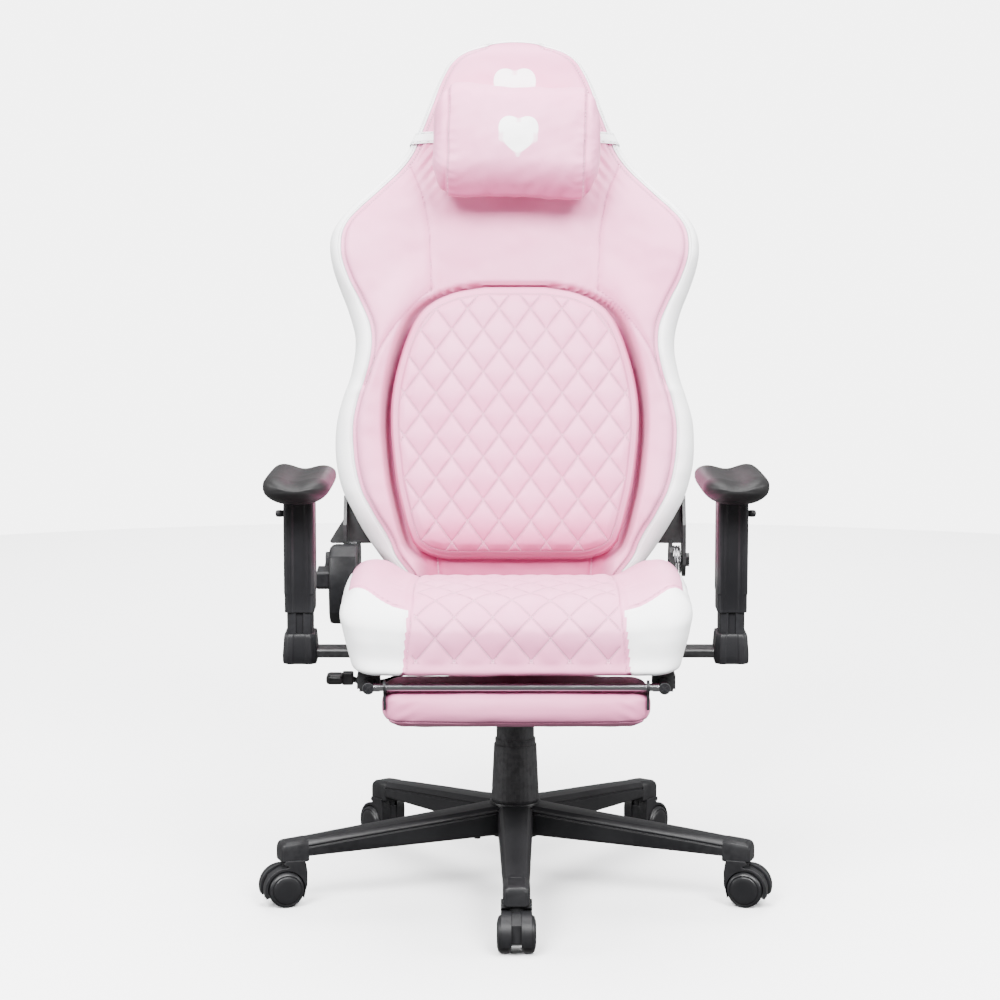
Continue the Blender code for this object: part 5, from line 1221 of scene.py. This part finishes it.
def loft(bm, sections):
    """Closed sections joined one after another, with both ends closed."""
    loop = [bm.verts.new(point) for point in sections[0]]
    bm.faces.new(loop)
    edges = [bm.edges.get((a, b)) for a, b in zip(loop, loop[1:] + loop[:1])]
    for section in sections[1:]:
        made = bmesh.ops.extrude_edge_only(bm, edges=edges)["geom"]
        fresh = {vert for vert in made if isinstance(vert, bmesh.types.BMVert)}
        next_loop = [
            next(edge.other_vert(vert) for edge in vert.link_edges if edge.other_vert(vert) in fresh)
            for vert in loop]
        for vert, point in zip(next_loop, section):
            vert.co = point
        loop = next_loop
        edges = [bm.edges.get((a, b)) for a, b in zip(loop, loop[1:] + loop[:1])]
    bm.faces.new(loop)


def mirrored(bm, sign):
    if sign < 0:
        bmesh.ops.scale(bm, vec=(-1, 1, 1), verts=bm.verts)


def make_arm(side, sign):
    low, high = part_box("arm_sleeve_left")
    cx, cy = (low.x + high.x) / 2, (low.y + high.y) / 2
    w, d = (high.x - low.x) / 2, (high.y - low.y) / 2
    across = np.linspace(-w + 0.006, w - 0.006, 25)
    recess = (0.0017 * smoothstep((0.0098 - np.abs(across)) / 0.0032) + 0.0005
              * ridge(np.abs(across) - 0.0122, 0.0012))
    corner = [(-w + 0.006 - 0.006 * math.cos(a), -d + 0.006 - 0.006 * math.sin(a))
              for a in np.linspace(0, math.pi / 2, 7)[:-1]]
    flutes = [(-w, d), *corner, *zip(across, -d + recess), *[(-x, y) for x, y in reversed(corner)], (w, d)]
    bm = bmesh.new()
    sections = []
    for z, grow in ((low.z, 0.965), (low.z + 0.024, 0.968), (low.z + 0.026, 1.0), (high.z - 0.012, 1.0),
                    (high.z + 0.010, 0.97)):
        sections.append([(cx + x * grow, cy + y * grow, z) for x, y in flutes])
    loft(bm, sections)
    mirrored(bm, sign)
    finished(f"arm_sleeve_shell_{side}", bm, f"arm_{side}", "black_plastic", [f"arm_sleeve_{side}"],
             0.0007, 35)

    low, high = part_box("arm_post_left")
    post_low, post_high = low.z, high.z
    pw, pd = 0.0172, 0.0226
    groove = [(-pw, pd), (-pw, -pd + 0.003), (-pw + 0.003, -pd), (-0.0050, -pd), (-0.0044, -pd + 0.0032),
              (0.0044, -pd + 0.0032), (0.0050, -pd), (pw - 0.003, -pd), (pw, -pd + 0.003), (pw, pd)]
    bm = bmesh.new()
    loft(bm, [[(cx + x, cy + y, z) for x, y in groove]
              for z in (post_low + 0.004, post_low + 0.05, post_high)])
    foot = [(-0.0235, 0.0285), (-0.0235, -0.0215), (-0.0165, -0.0290), (-0.0100, -0.0290), (-0.0075, -0.0274),
            (0.0075, -0.0274), (0.0100, -0.0290), (0.0165, -0.0290), (0.0235, -0.0215), (0.0235, 0.0285)]
    heights = ((0.0, 0.955), (0.003, 0.99), (0.012, 1.0), (0.036, 0.925), (0.0395, 0.90), (0.0415, 0.86))
    loft(bm, [[(cx + x * g, cy + y * g, post_low + z) for x, y in foot] for z, g in heights])
    mirrored(bm, sign)
    finished(f"arm_post_shell_{side}", bm, "seat", "black_plastic", [f"arm_post_{side}"], 0.0009, 35)

    low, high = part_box("arm_trigger_left")
    bm = bmesh.new()
    block(bm, (low.x - 0.003, low.y + 0.001, low.z - 0.006), (low.x + 0.0012, high.y - 0.001, high.z + 0.004))
    rod(bm, (low.x, low.y + 0.0065, low.z + 0.007), (high.x - 0.004, low.y + 0.0065, low.z + 0.007),
        0.0022, segments=20)
    turned(bm, [(0.0016, -0.0035), (0.0048, -0.0045), (0.0062, -0.002), (0.0062, 0.002), (0.0048, 0.0045),
                (0.0016, 0.0035)], (high.x - 0.0062, low.y + 0.0065, low.z + 0.007), steps=24)
    mirrored(bm, sign)
    finished(f"arm_trigger_paddle_{side}", bm, f"trigger_{side}", "black_plastic", [f"arm_trigger_{side}"],
             0.0006, 40)

    low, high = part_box("arm_pad_left")
    centre = (low + high) / 2
    cube, quads = cube_grid(40, 64, 20)
    half = np.array([(high.x - low.x) / 2, (high.y - low.y) / 2, 0.0215])
    half[0] *= 0.935
    points = rounded(cube, half, (0.035, 0.038, 0.0205), (0.035, 0.038, 0.0175))
    x, y, z = points.T.copy()
    share, up = x / half[0], smoothstep((z + 0.012) / 0.030)
    nose = np.clip(np.abs(y) / half[1], 0, 1)
    lobes = -0.0125 * ridge(share, 0.56) + 0.0035 * smoothstep(share)
    fall = 0.0020 * nose**4
    z += up * (0.0002 + lobes * (1 - 0.35 * nose**2) - fall) + (1 - up) * 0.003 * nose**4
    x *= 1 - 0.07 * (1 - up) * smoothstep(-z / 0.022) - 0.04 * nose**4
    parting = ridge(z + 0.0035 - 0.004 * (1 - share**2), 0.0009)
    shaped = np.stack([x, y, z], 1)
    shaped -= normals_of(shaped, quads) * (0.0005 * parting * (np.abs(share) > 0.3))[:, None]
    shaped[:, 2] -= 0.034 * shaped[:, 1]
    shaped += (centre.x, centre.y, low.z + 0.0205)
    shaped[:, 0] *= sign
    if sign < 0:
        quads = quads[:, ::-1]
    pad = new_object(f"arm_pad_skin_{side}", shaped, quads, polyurethane)
    placed(pad, f"arm_{side}", [f"arm_pad_{side}"])


for side, sign in (("left", 1), ("right", -1)):
    make_arm(side, sign)

WHEEL_Y, STEM_Y = -0.338, -0.325


def caster_spin(bm, index):
    bmesh.ops.rotate(bm, cent=(0, 0, 0), matrix=Matrix.Rotation(math.radians(72 * index), 3, "Z"),
                     verts=bm.verts)


def make_caster(index):
    name = index + 1
    bm = bmesh.new()
    centre = Vector((0, WHEEL_Y, 0.025))
    outer, inner = 0.0305, 0.0262
    turn = [math.radians(a) for a in range(-22, 96, 6)]
    arc_points = [(centre.y - outer * math.cos(a), centre.z + outer * math.sin(a)) for a in turn]
    back_points = [(centre.y + 0.004, 0.0565), (STEM_Y - 0.0150, 0.0600), (STEM_Y - 0.0135, 0.0650),
                   (STEM_Y + 0.0135, 0.0650), (STEM_Y + 0.0152, 0.0600), (STEM_Y + 0.0170, 0.0480),
                   (STEM_Y + 0.0165, 0.0300), (STEM_Y + 0.0125, 0.0180), (STEM_Y + 0.0120, 0.0120)]
    inner_points = [(centre.y + inner * math.sin(a), centre.z + inner * math.cos(a))
                    for a in [math.radians(v) for v in range(118, -113, -10)]]
    outline = [(0.0, y, z) for y, z in arc_points + back_points + inner_points]
    for low, high in ((-0.0205, -0.0065), (0.0065, 0.0205)):
        prism(bm, [(low, y, z) for _, y, z in outline], (high - low, 0, 0))
    web = [(centre.y - 0.0240, 0.018), (centre.y - 0.0215, 0.042), (centre.y - 0.004, 0.0535),
           (STEM_Y + 0.0150, 0.0535), (STEM_Y + 0.0150, 0.0180), (centre.y + 0.006, 0.0130),
           (centre.y - 0.014, 0.0130)]
    prism(bm, [(-0.0085, y, z) for y, z in web], (0.017, 0, 0))
    turned(bm, [(0.0, 0.0440), (0.0140, 0.0440), (0.0143, 0.0690), (0.0132, 0.0716), (0.0112, 0.0722),
                (0.0100, 0.0712), (0.0096, 0.0680), (0.0, 0.0680)], (0, STEM_Y, 0), steps=40)
    caster_spin(bm, index)
    finished(f"caster_cover_{name}", bm, f"caster_{name}", "black_nylon", [f"caster_hood_{name}"], 0.0016,
             36, 3)
    bm = bmesh.new()
    turned(bm, [(0.0, 0.0600), (0.0052, 0.0600), (0.0052, 0.0740), (0.0064, 0.0744), (0.0064, 0.0762),
                (0.0052, 0.0766), (0.0052, 0.0815), (0.0, 0.0815)], (0, STEM_Y, 0), steps=32)
    caster_spin(bm, index)
    finished(f"caster_stem_{name}", bm, f"caster_{name}", "bright_steel", (), 0.0003)
    bm = bmesh.new()
    for sign in (-1, 1):
        profile = [(0.0, 0.0070), (0.0215, 0.0070), (0.0238, 0.0082), (0.0249, 0.0110), (0.0250, 0.0185),
                   (0.0245, 0.0215), (0.0230, 0.0236), (0.0212, 0.0244), (0.0206, 0.0236),
                   (0.0198, 0.0236), (0.0192, 0.0246), (0.0178, 0.0254), (0.0120, 0.0259), (0.0, 0.0260)]
        turned(bm, [(radius, sign * height) for radius, height in profile], (0, WHEEL_Y, 0.025), "X", 56)
    rod(bm, (-0.009, WHEEL_Y, 0.025), (0.009, WHEEL_Y, 0.025), 0.0038)
    caster_spin(bm, index)
    finished(f"caster_tyres_{name}", bm, f"wheels_{name}", "black_tread", [f"caster_wheels_{name}"], 0, 50)


for index in range(5):
    make_caster(index)


def make_base():
    """Five ribbed arms round a hub, with a stepped block over each caster."""
    bm = bmesh.new()
    tip_top, root_top = 0.0895, 0.1225
    for index in range(5):
        leg = bmesh.new()
        sections = []
        for reach, share in ((0.020, 0.0), (0.036, 0.03), (0.10, 0.25), (0.18, 0.5), (0.26, 0.76),
                             (0.3085, 0.93)):
            w = 0.0245 + (0.0165 - 0.0245) * share
            t = root_top + (tip_top + 0.0035 - root_top) * share / 0.93
            b = t - (0.0430 + (0.0225 - 0.0430) * share)
            half = [(0.90 * w, b), (w, b + 0.0035), (w, t - 0.0120), (w - 0.0016, t - 0.0112),
                    (w - 0.0016, t - 0.0096), (w - 0.0002, t - 0.0088), (w - 0.0012, t - 0.0056),
                    (w * 0.74, t - 0.0014), (w * 0.36, t)]
            sections.append([(x, -reach, z) for x, z in half] + [(-x, -reach, z) for x, z in reversed(half)])
        loft(leg, sections)
        tip = []
        for reach, w, t, b in ((0.3045, 0.0165, 0.0925, 0.0625), (0.3080, 0.0180, 0.0927, 0.0620),
                               (0.3360, 0.0180, 0.0898, 0.0620),
                               (0.3415, 0.0168, 0.0880, 0.0620), (0.3438, 0.0145, 0.0840, 0.0628)):
            half = [(w - 0.002, b), (w, b + 0.002), (w, t - 0.0075), (w - 0.0018, t - 0.0028),
                    (w - 0.0065, t)]
            tip.append([(x, -reach, z) for x, z in half] + [(-x, -reach, z) for x, z in reversed(half)])
        loft(leg, tip)
        rod(leg, (0, STEM_Y, 0.0595), (0, STEM_Y, 0.064), 0.0125)
        rod(leg, (0.012, -0.060, 0.0745), (0.012, -0.060, 0.086), 0.0045, segments=20)
        bmesh.ops.rotate(leg, cent=(0, 0, 0), matrix=Matrix.Rotation(math.radians(72 * index), 3, "Z"),
                         verts=leg.verts)
        mesh = bpy.data.meshes.new("leg")
        leg.to_mesh(mesh)
        leg.free()
        bm.from_mesh(mesh)
        bpy.data.meshes.remove(mesh)
    turned(bm, [(0.0255, 0.0745), (0.0345, 0.0745), (0.0365, 0.0765), (0.0365, 0.1205), (0.0355, 0.1232),
                (0.0335, 0.1240), (0.0255, 0.1240), (0.0255, 0.0745)], (0, 0, 0), steps=72)
    finished("star_base_casting", bm, "base", "black_nylon", ["star_base"], 0.0012, 40)


make_base()


def make_rail_plugs():
    for side, sign in (("left", 1), ("right", -1)):
        bm = bmesh.new()
        rod(bm, (0.1946, -0.2740, 0.3388), (0.1946, -0.2788, 0.3388), 0.0072, segments=40)
        for turn in (45, -45):
            spoke = block(bm, (-0.0058, -0.0004, -0.0007), (0.0058, 0.0004, 0.0007))
            place = (Matrix.Translation((0.1946, -0.2791, 0.3388)) @ Matrix.Rotation(math.radians(turn), 4,
                    "Y"))
            bmesh.ops.transform(bm, matrix=place, verts=spoke)
        mirrored(bm, sign)
        finished(f"rail_plug_{side}", bm, "footrest", "black_plastic", (), 0.0003)


make_rail_plugs()


def make_recliner_shrouds():
    """The moulded housing over the hinge on the lever's side, and the folded wing above it on the back."""
    low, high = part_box("recliner_cover")
    y0, y1, z0, z1 = low.y - 0.004, high.y - 0.004, low.z - 0.002, high.z - 0.026
    sections = []
    for inset, x in ((0.006, low.x - 0.0035), (0.0015, low.x - 0.0020), (0.0, low.x + 0.004), (0.0, -0.2280)):
        outline = [(y0 + 0.020 + inset, z0 + inset), (y1 - 0.060, z0 + inset), (y1 - 0.030, z0 + 0.030),
                   (y1 - 0.032, z1 - 0.040), (y1 - 0.070, z1 - 0.006 - inset), (y0 + 0.030, z1 - inset),
                   (y0 + 0.010 + inset, z1 - 0.012 - inset), (y0 + inset, z1 - 0.035),
                   (y0 - 0.003 + inset, z0 + 0.050), (y0 + 0.004 + inset, z0 + 0.018)]
        sections.append([(x, y, z) for y, z in outline])
    bm = bmesh.new()
    loft(bm, sections)
    finished("recliner_housing", bm, "seat", "black_plastic", ["recliner_cover"], 0.0022, 38, 3)
    for side, sign in (("right", -1), ("left", 1)):
        bm = bmesh.new()
        flare = [(0.2690, 0.034), (0.2715, 0.037), (0.2625, 0.052),
                 (0.2470, 0.076)] if side == "right" else [(0.2450, 0.034)]
        outline = [(0.210, 0.034), *flare, (0.2450, 0.108), (0.210, 0.108)]
        depth = 0.030
        corners = back_to_world(np.array([(x, depth, h) for x, h in outline]))
        prism(bm, [tuple(c) for c in corners],
              tuple(np.array((0, 0.0028 * math.cos(LEAN), -0.0028 * math.sin(LEAN)))))
        mirrored(bm, sign)
        finished(f"back_wing_plate_{side}", bm, "back", "black_steel", (), 0.0006)


make_recliner_shrouds()


def make_recline_lever():
    low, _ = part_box("recline_lever")
    bm = bmesh.new()
    pivot_y, pivot_z = 0.2052, 0.4344
    rod(bm, (low.x + 0.030, pivot_y, pivot_z), (low.x + 0.045, pivot_y, pivot_z), 0.0115)
    outline = [(pivot_y + 0.011, pivot_z - 0.007), (pivot_y + 0.011, pivot_z + 0.007), (0.160, 0.4365),
               (0.145, 0.4330), (0.145, 0.4140), (0.160, 0.4190)]
    prism(bm, [(low.x + 0.0315, y, z) for y, z in outline], (0.006, 0, 0))
    grip = [(0.150, 0.4115), (0.150, 0.4325), (0.146, 0.4345), (0.104, 0.4330), (0.1005, 0.4300),
            (0.1005, 0.4110)]
    for step in range(15):
        grip.append((0.1035 + 0.0028 * step, 0.4085 - 0.0022 * abs(math.sin(step * math.pi / 3.5))))
    prism(bm, [(low.x + 0.0225, y, z) for y, z in grip], (0.0215, 0, 0))
    finished("recline_lever_grip", bm, "recliner_handle", "black_plastic", ["recline_lever"], 0.0014, 40, 3)


make_recline_lever()

# Floor, light and camera


def make_stage():
    bm = bmesh.new()
    bmesh.ops.create_circle(bm, cap_ends=True, segments=96, radius=3.6)
    mesh = bpy.data.meshes.new("studio_floor")
    bm.to_mesh(mesh)
    bm.free()
    floor = in_scene("studio_floor", mesh)
    m = Material("studio_paper", 0.9)
    paper = m.noise(m.place, 2.0, 2.0)
    mesh.materials.append(m.paint(m.mix(paper, (0.92, 0.92, 0.925), (0.94, 0.94, 0.945)), 0.9,
                                  ((paper, 0.0001),)))
    floor.visible_diffuse = False
    floor.visible_glossy = False
    world = bpy.data.worlds.new("studio")
    bpy.context.scene.world = world
    world.use_nodes = True
    n = Nodes(world.node_tree)
    background = world.node_tree.nodes["Background"]
    background.inputs["Color"].default_value = (1, 1, 1, 1)
    seen = n.add("ShaderNodeLightPath").outputs["Is Camera Ray"]
    n.link(n.ramp(seen, 0.0, 1.0, 0.38, 5.6), background.inputs["Strength"])
    for name, place, aim, size, power in (
        ("key", (-1.5, -3.0, 3.3), (0, 0, 0.7), 1.8, 540),
        ("second", (1.5, -3.0, 3.3), (0, 0, 0.7), 1.8, 480),
        ("top", (0, 0.3, 3.4), (0, 0.1, 0.6), 2.4, 190),
        ("floor", (0, 3.4, 3.4), (0, 3.0, 0), 3.4, 560),
        ("left", (-3.0, -0.6, 1.5), (0, 0, 0.6), 1.6, 105),
        ("right", (3.0, -0.6, 1.5), (0, 0, 0.6), 1.6, 105),
    ):
        data = bpy.data.lights.new(name, "AREA")
        data.size = size
        data.energy = power
        light = in_scene(name, data)
        light.location = place
        light.rotation_euler = (Vector(aim) - Vector(place)).to_track_quat("-Z", "Y").to_euler()
        light.visible_glossy = name != "floor"


def make_camera():
    data = bpy.data.cameras.new("camera")
    data.lens = 107.35
    data.sensor_width = 36
    camera = in_scene("camera", data)
    camera.location = (-0.0215, -4.1212, 1.117)
    camera.rotation_euler = (math.radians(90 - 7.823), 0, 0)
    bpy.context.scene.camera = camera


make_stage()
make_camera()
